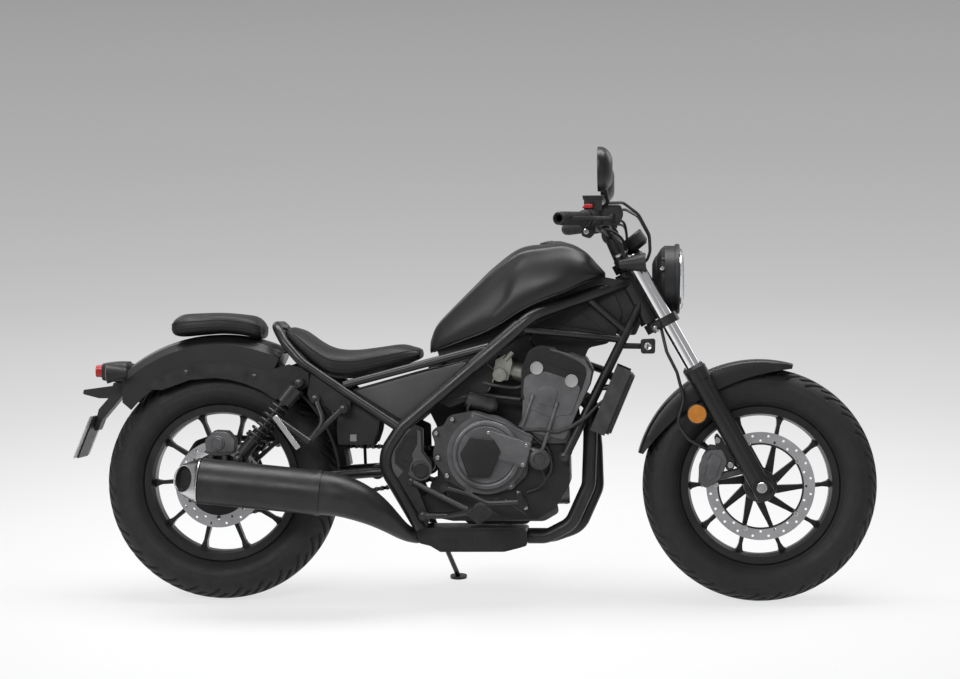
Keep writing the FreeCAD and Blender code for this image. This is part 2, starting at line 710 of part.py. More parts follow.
@functools.lru_cache
def engine_covers():
    """Right side: clutch cover and cam chain cover. Left side: alternator and sprocket covers."""
    face = -case_half - seat_gap
    clutch = rod((742, face, 410), (742, -case_half - 20, 410), 108.0)
    ears = [rod((x, face, z), (x, -case_half - 22, z), 11.0)
            for x, z in ((648, 506), (709, 516), (604, 468), (608, 401), (634, 352), (694, 310))]
    step = turned([(0, 0), (0, 96), (12, 90), (24, 76), (24, 0)], (742, -case_half - 18, 410), (0, -1, 0))
    hexagon = side_plate([(701, 458), (761, 453), (782, 420), (750, 349), (695, 349), (674, 412)],
                         -case_half - 56, -case_half - 40, 6)
    pump = side_plate([(744, 482), (868, 443), (849, 375), (770, 398)], -case_half - 46, face, 7)
    starter = side_plate([(704, 530), (806, 492), (872, 462), (862, 440), (712, 462)],
                         -case_half - 30, face, 12)
    outlet = fuse(rod((840, face - 10, 420), (900, -case_half - 16, 398), 22.0),
                  rod((888, face, 398), (888, -case_half - 34, 398), 27.0))
    lower = fuse(rod((818, face, 353), (818, -case_half - 14, 353), 12.0),
                 rod((807, face, 326), (807, -case_half - 14, 326), 12.0),
                 rod((796, face, 281), (796, -case_half - 12, 281), 12.0),
                 side_plate([(640, 300), (720, 296), (820, 262), (812, 240), (650, 262)],
                            -case_half - 12, face, 8))
    cam = side_plate([on_cylinder(-60, 60), on_cylinder(-92, 226), on_cylinder(-88, 262),
                      on_cylinder(-64, 290), on_cylinder(-24, 294), on_cylinder(24, 292),
                      on_cylinder(64, 286), on_cylinder(90, 258), on_cylinder(92, 226),
                      on_cylinder(60, 60)], -118, -104 - seat_gap, 10)
    caps = [rod((x, -117, z), (x, -123, z), 17.0) for x, z in ((881, 646), (976, 611))]
    ridge = side_plate([(904, 592), (922, 592), (934, 552), (896, 552)], -122, -117, 3)
    columns = [rod((x + 31, -108, z + 92), (x, -108, z), 9.0) for x, z in ((839, 484), (905, 452))]
    right = fuse(clutch, step, hexagon, pump, starter, outlet, lower, *ears)
    left = fuse(rod((842, case_half + seat_gap, 372), (842, case_half + 38, 372), 84.0),
                rod((842, case_half + 36, 372), (842, case_half + 50, 372), 56.0))
    chain_cover = side_plate([(596, 336), (600, 428), (640, 452), (700, 446), (738, 412), (738, 340),
                              (700, 300)], case_half + 14, case_half + 24, 16)
    post = rod((722, case_half + seat_gap, 340), (722, case_half + 15, 340), 10.0)
    block = fuse(engine()["cylinders"], engine()["crankcase"])
    right = largest(right.cut(block))
    cam = largest(fuse(cam, ridge, *caps, *columns).cut(block).cut(right))
    return {
        "right_engine_covers": group(right, cam),
        "left_engine_covers": group(left, fuse(chain_cover, post)),
    }


@functools.lru_cache
def intake_and_cooling():
    bodies = [tube([(778, y, 650), (846, y, 628)], 27.0) for y in (-50, 50)]
    joiner = rod((776, -96, 640), (776, 78, 640), 16.0)
    actuator = fuse(rod((778, -84, 628), (778, -112, 628), 19.0), rod((792, -92, 668), (812, -92, 690), 9.0),
                    side_plate([(762, 622), (766, 668), (806, 690), (812, 660), (800, 610)], -96, -70, 6))
    air_box = side_plate([(600, 560), (610, 640), (690, 668), (760, 700), (775, 640), (745, 580), (640, 540)],
                         -84, 84, 14)
    lean = V(75, 0, 178).normalize()
    face = V(lean.z, 0, -lean.x)
    base = V(1048, 0, 476)
    core = [base + face * 9, base + face * 30, base + face * 30 + lean * 176, base + face * 9 + lean * 176]
    radiator = Part.Face(Part.makePolygon([c - V(0, 136, 0) for c in core + [core[0]]])).extrude(V(0, 272, 0))
    tanks = []
    for side in (-1, 1):
        shell = [base - face * 22 - lean * 6, base + face * 20 - lean * 6,
                 base + face * 20 + lean * 184, base - face * 22 + lean * 184]
        low = 136 if side > 0 else -152
        tanks.append(Part.Face(Part.makePolygon([c + V(0, low, 0) for c in shell + [shell[0]]]))
                     .extrude(V(0, 16, 0)))
    fan = Part.makeCylinder(62, 18, base + face * 10 + lean * 112, face * -1)
    studs = [rod((1046, side * 78, 590), (1112, side * 78, 590), 6.0) for side in (-1, 1)]
    cooler = fuse(radiator, *tanks, fan, *studs).cut(frame_solid())
    return {
        "intake": largest(fuse(*bodies, joiner, actuator, air_box).cut(engine()["cylinders"])),
        "radiator": largest(cooler),
    }


def engine_hoses():
    """Coolant hose from the head to the radiator's left tank, and the cable across the right side."""
    neighbours = fuse(engine()["cylinders"], intake_and_cooling()["radiator"], engine_covers()["right_engine_covers"])
    coolant = tube([(982, 86, 636), (1010, 116, 652), (1060, 141, 634), (1100, 144, 602)], 11.0, 40)
    cable = tube([(1082, -142, 574), (1050, -134, 548), (1018, -127, 516), (971, -125, 484), (932, -124, 470),
                  (896, -125, 478), (826, -120, 476)], 4.5, 45)
    return {"engine_hoses": group(*[largest(line.cut(neighbours)) for line in (coolant, cable)])}


# Exhaust

def exhaust():
    right = tube([(994, -48, 566), (1026, -48, 546), (1024, -48, 430), (1020, -48, 322), (972, -48, 216),
                  (904, -48, 180), (852.3, -48, 180)], 19.5, 60)
    left = tube([(994, 48, 566), (1026, 48, 546), (1038, 44, 424), (1042, 22, 312), (994, 0, 206),
                 (920, -2, 180), (852.3, -2, 180)], 19.5, 60)
    head = engine()["cylinders"]
    chamber = side_plate([
        (548, 198), (556, 166), (588, 158), (614, 142), (790, 143), (833, 154), (852, 160), (852, 204),
        (800, 210), (560, 208),
    ], -112, 46, 8)
    muffler_front = (300, -muffler_y, 310)
    muffler_back = (-36, -muffler_y, 343)
    along = unit(V(*muffler_back) - V(*muffler_front))
    body = turned([(0, 30), (0, 58), (8, 61), (330, 62), (336, 58), (336, 30)], muffler_front,
                  tuple(along))
    cone = tapered_pipe([
        (muffler_front, (1, 0, -0.1), 60), ((350, -205, 303), (1, 0.05, -0.2), 57),
        ((405, -200, 283), (1, 0.2, -0.45), 51), ((455, -180, 252), (1, 0.6, -0.7), 40),
        ((500, -140, 212), (1, 1.1, -0.7), 27), ((536, -95, 187), (1, 0.8, -0.3), 21),
        ((552, -84, 184), (1, 0.4, -0.1), 21),
    ]).cut(chamber)
    tip_base = V(*muffler_front) + along * 336.3
    tip = Part.makeCone(60, 44, 44, tip_base, along)
    hole = Part.makeCylinder(20, 60, tip_base + along * 10, unit(along + V(0, -0.35, 0)))
    slash = Part.makeBox(200, 200, 200, V(-100, -100, 0))
    slash.Placement = FreeCAD.Placement(
        tip_base + along * 34, FreeCAD.Rotation(V(0, 0, 1), unit(along + V(0, -0.45, 0))))
    return {
        "exhaust_headers": group(largest(right.cut(head)), largest(left.cut(head))),
        "exhaust_chamber": chamber,
        "muffler": fuse(body, largest(cone)),
        "muffler_tip": tip.cut(slash).cut(hole),
    }


# Rear suspension and final drive

@functools.lru_cache
def swingarm():
    arm = tube([(pivot[0], -92, pivot[1]), (410, -92, 358), (200, -119, 342), (-30, -121, rear_axle_z)],
               15.0, 300)
    cross = rod((440, -94, 360), (440, 94, 360), 20.0)
    boss_faces = (-pivot_plate_y + seat_gap, -74)
    boss = axle_ring([(boss_faces[0], 0), (boss_faces[0], 22), (boss_faces[1], 22), (boss_faces[1], 0)], *pivot)
    shock_lug = rod((shock_bottom[0], -123, shock_bottom[1]), (shock_bottom[0], -114, shock_bottom[1]), 16.0)
    lug_web = side_plate([(40, 334), (100, 337), (78, 398), (48, 398)], -122, -115, 0)
    right = fuse(arm, boss, shock_lug, lug_web)
    tube_bore = rod((pivot[0], -130, pivot[1]), (pivot[0], 130, pivot[1]), 10.0 + running_gap)
    axle_hole = rod((0, -160, rear_axle_z), (0, 160, rear_axle_z), axle_radius)
    whole = fuse(right, mirrored(right), cross).cut(tube_bore).cut(axle_hole)
    pivot_bolt = fuse(
        rod((pivot[0], -140, pivot[1]), (pivot[0], 140, pivot[1]), 10.0),
        rod((pivot[0], -141, pivot[1]), (pivot[0], -135.3, pivot[1]), 19.0),
        rod((pivot[0], 135.3, pivot[1]), (pivot[0], 141, pivot[1]), 19.0),
    )
    axle = fuse(
        rod((0, -141, rear_axle_z), (0, 141, rear_axle_z), axle_radius),
        rod((0, -141, rear_axle_z), (0, -136.3, rear_axle_z), 15.0),
        rod((0, 136.3, rear_axle_z), (0, 141, rear_axle_z), 15.0),
    ).cut(rod((0, -150, rear_axle_z), (0, 150, rear_axle_z), axle_bore_radius))
    return {"swingarm": whole, "rear_bolts": group(pivot_bolt, axle)}


shock_top = (230.0, 607.0)
shock_bottom = (62.0, 398.0)
shock_y = 141.0


def shocks():
    top, low = V(shock_top[0], -shock_y, shock_top[1]), V(shock_bottom[0], -shock_y, shock_bottom[1])
    along = unit(low - top)
    length = (low - top).Length
    bodies = fuse(
        rod(tuple(top - V(0, 12, 0)), tuple(top + V(0, 38.7, 0)), 12.0),
        Part.makeCylinder(10, length, top, along),
        Part.makeCylinder(27, 52, top + along * 16, along),
        Part.makeCylinder(18, 74, top + along * (length - 92), along),
        Part.makeCylinder(28, 5, top + along * (length - 74), along),
        rod(tuple(low - V(0, 12, 0)), tuple(low + V(0, 17.7, 0)), 12.0),
    )
    start, coils, pitch = 72.6, 7, 16.6
    helix = Part.makeHelix(pitch, pitch * coils, 23.0)
    profile = Part.Wire(Part.makeCircle(4.2, V(23, 0, 0), V(0, 1, 0)))
    spring = Part.Wire(helix.Edges).makePipeShell([profile], True, True)
    spring.Placement = FreeCAD.Placement(top + along * start, FreeCAD.Rotation(V(0, 0, 1), along))
    return {"shock_absorbers": both_sides(bodies), "shock_springs": both_sides(spring)}


def drive_chain():
    """Closed roller chain about both sprockets: a band of inner links with outer plates on every other one."""
    fx, fz = countershaft
    front_r, rear_r = pitch_radius(front_sprocket_teeth), pitch_radius(rear_sprocket_teeth)
    dx, dz = fx, fz - rear_axle_z
    distance = math.hypot(dx, dz)
    slope = math.degrees(math.atan2(dz, dx))
    wrap = math.degrees(math.asin((rear_r - front_r) / distance))

    def band(offset, y_low, y_high):
        top_a = wheel_point(0, rear_axle_z, slope + 90 - wrap, rear_r + offset, y_low)
        top_b = wheel_point(fx, fz, slope + 90 - wrap, front_r + offset, y_low)
        low_a = wheel_point(0, rear_axle_z, slope - 90 + wrap, rear_r + offset, y_low)
        low_b = wheel_point(fx, fz, slope - 90 + wrap, front_r + offset, y_low)
        back = wheel_point(0, rear_axle_z, slope + 180, rear_r + offset, y_low)
        nose = wheel_point(fx, fz, slope, front_r + offset, y_low)
        wire = Part.Wire([
            Part.LineSegment(V(*top_a), V(*top_b)).toShape(),
            Part.Arc(V(*top_b), V(*nose), V(*low_b)).toShape(),
            Part.LineSegment(V(*low_b), V(*low_a)).toShape(),
            Part.Arc(V(*low_a), V(*back), V(*top_a)).toShape(),
        ])
        return Part.Face(wire).extrude(V(0, y_high - y_low, 0))

    half = chain_plate_height / 2
    y = chain_offset
    core = band(chain_roller_radius, y - 5, y + 5).cut(band(-chain_roller_radius, y - 6, y + 6))
    inner = [
        band(half - 1, low, low + 1.6).cut(band(-half + 1, low - 1, low + 3))
        for low in (y - 5, y + 3.4)
    ]
    return {"drive_chain": fuse(core, *inner)}


def front_sprocket():
    fx, fz = countershaft
    return {"front_sprocket": fuse(
        sprocket(fx, fz, front_sprocket_teeth, 6.0, 8.0, chain_offset),
        rod((fx, sprocket_wall_y, fz), (fx, chain_offset + 12, fz), 12.0),
    )}


def chain_guard():
    """Sheet cap over the chain's upper run, with two struts down to the swingarm."""
    top, low = 84.0, 110.0
    cap = side_plate([(-130, 386), (-98, 436), (-50, 453), (420, 441), (420, 438), (-50, 450), (-95, 433),
                      (-127, 384)], top, low, 30)
    flange = side_plate([(-130, 386), (-98, 436), (-50, 453), (420, 441), (420, 424), (-46, 436), (-88, 420),
                         (-116, 378)], low - 3, low, 26)
    struts = [rod((x, 112, z), (x + 4, end_y, 352), 4.5) for x, z, end_y in ((382, 440, 105), (210, 444, 116))]
    return {"chain_guard": largest(fuse(cap, flange, *struts).cut(swingarm()["swingarm"]))}


# Fork and controls

def crown(z, thickness):
    """A fork clamp: a plate across both legs, square to the steering axis."""
    leg = V(fork_x(z), 0, z) - V(steer_x(z), 0, z)
    forward = leg.dot(steering_forward)
    outline = [
        (-24, -18), (-24, 18), (-8, 44), (forward - 26, fork_spacing), (forward - 20, fork_spacing + 18),
        (forward, fork_spacing + 31), (forward + 26, fork_spacing + 18), (forward + 32, fork_spacing - 20),
        (forward + 22, 40), (forward + 22, -40), (forward + 32, -fork_spacing + 20),
        (forward + 26, -fork_spacing - 18), (forward, -fork_spacing - 31),
        (forward - 20, -fork_spacing - 18), (forward - 26, -fork_spacing), (-8, -44),
    ]
    points = [on_steering(z, p, q, -thickness / 2) for p, q in outline]
    return Part.Face(rounded_wire(points, 14, closed=True)).extrude(steering_axis * thickness)


def upper_crown_blank():
    return crown(crown_upper_z, crown_thickness)


@functools.lru_cache
def fork():
    legs, lowers = [], []
    for side in (-1, 1):
        legs.append(rod(on_fork(fork_lower_top_z - 130, side), on_fork(fork_tube_top_z, side), fork_tube_radius))
        lower = rod(on_fork(front_axle_z - 22, side), on_fork(fork_lower_top_z, side), fork_lower_radius)
        collar = rod(on_fork(fork_lower_top_z - 26, side), on_fork(fork_lower_top_z, side), fork_lower_radius + 4)
        socket = rod(on_fork(fork_lower_top_z - 132, side), on_fork(fork_lower_top_z + 1, side), fork_tube_radius)
        lug = rod((wheelbase, side * (fork_spacing - 28), front_axle_z),
                  (wheelbase, side * (fork_spacing + 27), front_axle_z), 24.0)
        hole = rod((wheelbase, side * 40, front_axle_z), (wheelbase, side * 150, front_axle_z), axle_radius)
        x, z = reflector
        reach = fuse(rod((1376, side * 106, z + 5), (x, side * 106, z), 5.0),
                     rod((x, side * 104, z), (x, side * reflector_seat, z), 13.0))
        lowers.append(fuse(lower, collar, lug, reach).cut(socket).cut(hole))
    holes = Part.makeCompound([leg.copy() for leg in legs])
    stem = rod(on_steering(crown_lower_z), on_steering(crown_upper_z), stem_radius)
    lower_crown = fuse(crown(crown_lower_z, crown_thickness), stem).cut(holes)
    upper_crown = upper_crown_blank().cut(holes)
    upper_crown = upper_crown.cut(rod(on_steering(crown_upper_z - 60), on_steering(crown_upper_z + 60), stem_radius))
    nut = rod(on_steering(crown_upper_z, up=0.0), on_steering(crown_upper_z, up=crown_thickness / 2 + 10), stem_radius)
    lower_crown = fuse(lower_crown, nut)
    axle = fuse(
        rod((wheelbase, -fork_spacing - 27.3, front_axle_z), (wheelbase, fork_spacing + 27.3, front_axle_z),
            axle_radius),
        rod((wheelbase, -fork_spacing - 34, front_axle_z), (wheelbase, -fork_spacing - 27.3, front_axle_z), 14.0),
        rod((wheelbase, fork_spacing + 27.3, front_axle_z), (wheelbase, fork_spacing + 34, front_axle_z), 14.0),
    )
    return {
        "fork_tubes": group(*legs),
        "fork_lowers": group(*lowers),
        "lower_crown": lower_crown,
        "upper_crown": upper_crown,
        "front_axle": axle,
    }


bar_rise = (1080.0, 70.0, 1010.0)
bar_shoulder = (1060.0, 190.0, 1044.0)
grip_inner = (1016.0, 284.0, 1047.0)
grip_outer = (950.0, 404.0, 1043.0)
grip_length = (V(*grip_outer) - V(*grip_inner)).Length


def flipped(point):
    return (point[0], -point[1], point[2])


def along_grip(share, side=-1, forward=0.0, up=0.0):
    """A point along a grip from its inner end, with an offset forward and up."""
    a, b = V(*grip_inner), V(*grip_outer)
    point = a + (b - a) * share
    direction = unit(b - a)
    ahead = V(direction.y, -direction.x, 0)
    point = point + ahead * forward + V(0, 0, up)
    return (point.x, side * point.y, point.z)


@functools.lru_cache
def bar_tube():
    right = [flipped(grip_outer), flipped(grip_inner), flipped(bar_shoulder), flipped(bar_rise)]
    left = [flipped(p) for p in reversed(right)]
    return tube(right + left, bar_radius, [0, 200, 60, 60, 60, 60, 200, 0])


def handlebar():
    bar = bar_tube()
    risers = []
    for side in (-1, 1):
        foot = on_steering(crown_upper_z, 6, side * 46)
        top = (bar_rise[0], side * 46, bar_rise[2])
        risers.append(rod(foot, top, 19.0))
        risers.append(rod((top[0], side * 62, top[2]), (top[0], side * 30, top[2]), 24.0))
    grips, bores = [], []
    for side in (-1, 1):
        outer = rod(along_grip(0.02, side), along_grip(0.995, side), grip_radius)
        grips.append(outer.cut(bar))
        bores.append(rod(along_grip(1 - bar_bore_depth / grip_length, side), along_grip(1.1, side),
                         bar_bore_radius))
    clamped = fuse(bar, *risers).cut(upper_crown_blank())
    return {"handlebar": clamped.cut(Part.makeCompound(bores)), "grips": group(*grips)}


@functools.lru_cache
def bar_controls():
    pieces = []
    for side in (-1, 1):
        switch = rod(along_grip(-0.36, side), along_grip(-0.01, side), 24.0)
        clamp = rod(along_grip(-0.62, side), along_grip(-0.42, side), 21.0)
        perch = rod(along_grip(-0.52, side), along_grip(-0.50, side, forward=50), 12.0)
        pivot_end = rod(along_grip(-0.36, side), along_grip(-0.62, side), 19.0)
        lever = tube([along_grip(-0.50, side, forward=44), along_grip(-0.15, side, forward=54),
                      along_grip(0.4, side, forward=56), along_grip(0.98, side, forward=42)], 5.5, 60)
        pieces.append(fuse(switch, clamp, perch, pivot_end, lever))
    reservoir = box(1012, 1060, -252, -206, 1068, 1102)
    cap = box(1009, 1063, -255, -203, 1100, 1107)
    post = rod((1036, -229, 1050), (1036, -229, 1072), 11.0)
    pieces[0] = fuse(pieces[0], reservoir, cap, post)
    bar = bar_tube()
    return {"bar_controls": group(*[piece.cut(bar) for piece in pieces])}


def mirrors():
    controls = bar_controls()["bar_controls"]
    pieces = []
    for side in (-1, 1):
        foot = along_grip(-0.52, side, up=18)
        head = (1070, side * 330, 1128)
        stem = tube([foot, (1076, side * 262, 1090), head], 5.0, 30)
        shell = Part.makeLoft([
            mirror_oval(1050, side * 345, 1174, 84, 58), mirror_oval(1068, side * 345, 1174, 81, 56),
            mirror_oval(1082, side * 345, 1173, 64, 44), mirror_oval(1089, side * 345, 1172, 40, 27),
        ], True, False, False)
        pieces.append(largest(fuse(shell, stem).cut(controls)))
    return {"mirrors": group(*pieces)}


def mirror_oval(x, y, z, half_width, half_height):
    curve = Part.BSplineCurve()
    points = []
    for i in range(16):
        a = 2 * math.pi * i / 16
        c, s = math.cos(a), math.sin(a)
        points.append(V(x, y + half_width * math.copysign(abs(c) ** 0.75, c),
                        z + half_height * math.copysign(abs(s) ** 0.75, s)))
    curve.interpolate(points, PeriodicFlag=True)
    return Part.Wire(curve.toShape())


headlight = (1256.0, 0.0, 890.0)
headlight_radius = 92.0


def lamps_and_meter():
    x, z = headlight[0], headlight[2]
    shell = turned([(-60, 0), (-60, 40), (-50, 62), (-36, 84), (-26, headlight_radius),
                    (6, headlight_radius), (6, 0)], (x, 0, z), (1, 0, 0))
    lens = turned([(6.3, 0), (6.3, headlight_radius - 4), (16, headlight_radius - 8), (24, 66), (28, 0)],
                  (x, 0, z), (1, 0, 0))
    meter = turned([(-20, 0), (-20, 28), (-10, 37), (16, 38), (20, 35), (20, 0)], (1146, 0, 988),
                   (-0.62, 0, 0.78))
    signals = []
    crown_blank = upper_crown_blank()
    for side in (-1, 1):
        signals.append(fuse(
            rod((1106, side * 160, 926), (1174, side * 160, 932), 12.0, 26.0),
            rod((1146, side * 128, 924), (1146, side * 158, 928), 8.0)).cut(crown_blank))
    meter = fuse(meter, rod((1160, 0, 970), (1130, 0, 938), 8.0)).cut(crown_blank)
    return {
        "headlight": shell,
        "headlight_lens": lens,
        "meter": largest(meter),
        "front_signals": group(*signals),
    }


def front_fender():
    x, z = wheelbase, front_axle_z
    shell = fender_shell(x, z, front_fender_radius, front_fender_half, 314.0, fender_sheet, -73, 90)
    lugs = [rod((fork_x(600) + dx, side * (front_fender_half - 2), 600 - dx * 1.6),
                (fork_x(600) + dx, side * (fork_spacing - 10), 600 - dx * 1.6), 9.0)
            for side in (-1, 1) for dx in (0, 34)]
    legs = Part.makeCompound([rod(on_fork(450, side), on_fork(fork_lower_top_z - 20, side), fork_lower_radius)
                              for side in (-1, 1)])
    return {"front_fender": largest(fuse(shell, *lugs).cut(legs))}


def caliper(outline, lug, x, z, disc_radius, carrier_radius, disc_offset, inner_y, outer_y):
    """A caliper straddling its disc, with a lug to what carries it."""
    body = side_plate(outline, -outer_y, -inner_y, 8)
    slot = axle_ring([
        (-disc_offset - disc_thickness / 2 - pad_gap, 20), (-disc_offset - disc_thickness / 2 - pad_gap, disc_radius + 6),
        (-disc_offset + disc_thickness / 2 + pad_gap, disc_radius + 6), (-disc_offset + disc_thickness / 2 + pad_gap, 20),
    ], x, z)
    hub_room = axle_ring([(-disc_offset, 20), (-disc_offset, carrier_radius + moving_gap),
                          (-inner_y + 5, carrier_radius + moving_gap), (-inner_y + 5, 20)], x, z)
    return fuse(body, lug).cut(slot).cut(hub_room)


@functools.lru_cache
def calipers():
    legs = rod(on_fork(front_axle_z), on_fork(fork_lower_top_z), fork_lower_radius)
    front = caliper(
        [(1322, 352), (1320, 330), (1340, 318), (1378, 338), (1392, 372), (1396, 410), (1380, 432),
         (1350, 436), (1330, 400)],
        fuse(rod((1384, -92, 400), (1426, -92, 416), 10.0), rod((1376, -92, 350), (1440, -92, 366), 10.0)),
        wheelbase, front_axle_z, front_disc_radius, front_disc_inner + 16, front_disc_offset, 52, 100).cut(legs)
    rear = caliper(
        [(-30, 412), (-34, 450), (-6, 476), (30, 474), (52, 450), (48, 412), (20, 406), (-8, 406)],
        fuse(rod((20, -110, 420), (20, -113, 330), 9.0), rod((-18, -110, 420), (-18, -113, 328), 9.0)),
        0, rear_axle_z, rear_disc_radius, rear_disc_inner + 9, rear_disc_offset, 82, 122)
    rear = rear.cut(swingarm()["swingarm"])
    return {"front_caliper": largest(front), "rear_caliper": largest(rear)}


def reflectors_and_lock():
    """Round amber reflectors on the fork legs, and the lock barrel under the head on the right."""
    discs = []
    for side in (-1, 1):
        x, z = reflector
        discs.append(turned([(0, 0), (0, reflector_radius), (6, reflector_radius), (9, reflector_radius - 4), (9, 0)],
                            (x, side * (reflector_seat + seat_gap), z), (0, side, 0)))
    x, z = key_lock_place
    lock = fuse(rod((x, -14, z), (x, -50, z), 16.0), rod((x, -48, z), (x, -56, z), 13.0),
                rod((x, -32, z), (x - 78, -46, z + 2), 8.0)).cut(frame_solid())
    return {"side_reflectors": group(*discs), "key_lock": largest(lock)}


def hoses():
    """Cables from the bar controls down to the upper crown, and the brake hose down the right fork leg."""
    holders = fuse(bar_controls()["bar_controls"], fork()["upper_crown"], fork()["lower_crown"],
                   calipers()["front_caliper"])
    front_run = [(1158, -80, 1066), (1188, -60, 1010), (1190, -56, 966), (1180, -50, 936), (1146, -46, 934)]
    rear_run = [(1046, -232, 1044), (1046, -190, 1032), (1060, -148, 1028), (1084, -110, 1010), (1110, -92, 978),
                (1124, -84, 936)]
    lines = [
        tube([(1036, -238, 1052), (1072, -196, 1092), (1116, -124, 1096)] + front_run, 4.0, 40),
        tube([flipped(p) for p in [(1052, -214, 1052), (1086, -176, 1084), (1122, -118, 1088)] + front_run], 4.0, 40),
        tube(rear_run, 4.5, 40),
        tube([flipped(p) for p in rear_run], 4.5, 40),
        tube([(1218, -78, 760), (1234, -90, 690), (1262, -95, 634), (1281, -96, 560), (1262, -97, 494),
              (1294, -97, 450), (1346, -88, 422)], 4.5, 40),
    ]
    bar = bar_tube()
    return {"hoses": group(*[largest(line.cut(holders).cut(bar)) for line in lines])}


# Footrests and stand

def footrests():
    holders = fuse(seat_hoop()["seat_hoop"], frame_solid())
    pegs = []
    for side in (-1, 1):
        arm = tube([(571, side * 146, 244), (640, side * 152, 246), (718, side * 200, 262)], 9.0, 30)
        peg = rod((724, side * 204, 264), (738, side * 318, 268), 15.0)
        boss = rod((571, side * 135.3, 244), (571, side * 152, 244), 14.0)
        upper_boss = rod((538, side * 135.3, 338), (538, side * 152, 338), 10.0)
        strut = rod((538, side * 147, 338), (694, side * 180, 264), 7.5)
        pedal_post = fuse(rod((630, side * 164, 294), (630, side * 149, 312), 5.5),
                          rod((630, side * 146, 322), (630, side * pedal_face, 322), 9.0))
        pegs.append(largest(fuse(arm, peg, boss, upper_boss, strut, pedal_post).cut(holders)))
    rear = []
    for side in (-1, 1):
        bracket = fuse(
            tube([(274, side * 140, 563), (300, side * 160, 500), (263, side * 176, 452)], 8.0, 40),
            tube([(351, side * 140, 536), (263, side * 176, 452)], 8.0),
            rod((274, side * (stay_outer + 20), 563), (274, side * 146, 563), 13.0),
            rod((351, side * (stay_outer + 20), 536), (351, side * 146, 536), 13.0),
        ).cut(holders)
        peg = rod((263, side * 184, 446), (166, side * 186, 514), 11.0)
        rear.append(fuse(largest(bracket), peg))
    return {"footrests": group(*pegs, *rear)}


def foot_controls():
    """Brake pedal on the right; gear lever with its link to the gear shaft on the left."""
    y = -pedal_face - seat_gap
    pedal = fuse(
        rod((630, y, 322), (630, y - 12, 322), 11.0),
        tube([(630, y - 6, 322), (700, y - 6, 302), (748, -172, 280), (842, -190, 286)], 6.5, 40),
        side_plate([(828, 306), (838, 314), (860, 280), (843, 264), (832, 286)], -218, -178, 4))
    lever = fuse(
        rod((630, -y, 322), (630, -y + 12, 322), 11.0),
        tube([(630, -y + 6, 322), (710, 168, 326), (806, 182, 312)], 6.0, 60),
        rod((806, 174, 312), (806, 222, 312), 9.0),
        rod((700, 168, 325), (668, 144, 396), 4.0),
        rod((668, case_half + 24 + seat_gap, 396), (668, 150, 396), 8.0))
    return {"foot_controls": group(pedal, lever)}


def along_stand(distance):
    """A point on the side stand's hinge, measured outward from its middle."""
    point = V(*stand_pivot) + stand_axis * distance
    return (point.x, point.y, point.z)


def stand_bracket():
    """Two ears with the hinge pin, hung from the left pivot plate, and the stop for the leg."""
    inner = stand_eye_half + 1.0
    ears = [rod(along_stand(side * inner), along_stand(side * (inner + stand_ear)), 16.0) for side in (-1, 1)]
    roots = [along_stand(side * (inner + stand_arm_radius + 0.8)) for side in (-1, 1)]
    rise = V(-15, 0, 31)
    rise = rise - stand_axis * rise.dot(stand_axis)
    shoulders = [V(*root) + rise for root in roots]
    arms = [rod(root, tuple(shoulder + rise * 0.1), stand_arm_radius) for root, shoulder in zip(roots, shoulders)]
    arms.append(rod(tuple(shoulders[0] - stand_axis * 9), tuple(shoulders[1] + stand_axis * 4), stand_arm_radius + 1))
    arms.append(rod((562, pivot_plate_y + 4, 214), tuple(shoulders[0] - stand_axis * 3), stand_arm_radius + 2.5))
    pin = rod(along_stand(-inner - stand_ear - 2), along_stand(inner + stand_ear + 2), stand_pin_radius)
    return fuse(*ears, *arms, pin)


def side_stand():
    """Leg and foot of the side stand, in the position that carries the leaning machine."""
    ground_z = stand_foot[1] * math.tan(math.radians(lean_deg)) - tyre_drop()
    foot = (stand_foot[0], stand_foot[1], ground_z + 4)
    along = unit(V(*foot) - V(*stand_pivot))
    square = unit(along - stand_axis * along.dot(stand_axis))
    top, knee = V(*stand_pivot) + square * 9, V(*stand_pivot) + square * 42
    leg = tube([(top.x, top.y, top.z), (knee.x, knee.y, knee.z), foot], stand_leg_radius, 60)
    eye = rod(along_stand(-stand_eye_half), along_stand(stand_eye_half), 14.0)
    bore = rod(along_stand(-40), along_stand(40), stand_pin_radius + running_gap)
    pad = Part.makeCylinder(24, 8, V(0, 0, 0), V(0, 0, 1))
    pad.Placement = FreeCAD.Placement(
        V(foot[0], foot[1], ground_z), FreeCAD.Rotation(V(1, 0, 0), lean_deg))
    leg = fuse(leg, eye, pad)
    under = Part.makeBox(400, 400, 100, V(-200, -200, -100))
    under.Placement = FreeCAD.Placement(
        V(foot[0], foot[1], ground_z), FreeCAD.Rotation(V(1, 0, 0), lean_deg))
    return {"side_stand": leg.cut(under).cut(bore)}


def tyre_drop():
    """How far the ground under the leaning machine lies below the upright tyre line at the middle."""
    lean = math.radians(lean_deg)
    return tyre_crown_radius * (1 - math.cos(lean)) / math.cos(lean)


# Assembly

bodies = {
    "side_stand": ["side_stand"],
    "front_wheel": ["front_tyre", "front_rim", "front_disc"],
    "rear_wheel": ["rear_tyre", "rear_rim", "rear_disc", "rear_sprocket"],
    "fork": ["fork_tubes", "fork_lowers", "lower_crown", "upper_crown", "front_axle", "handlebar", "grips",
             "bar_controls", "mirrors", "headlight", "headlight_lens", "meter",
             "front_signals", "front_fender", "front_caliper", "side_reflectors", "hoses"],
}


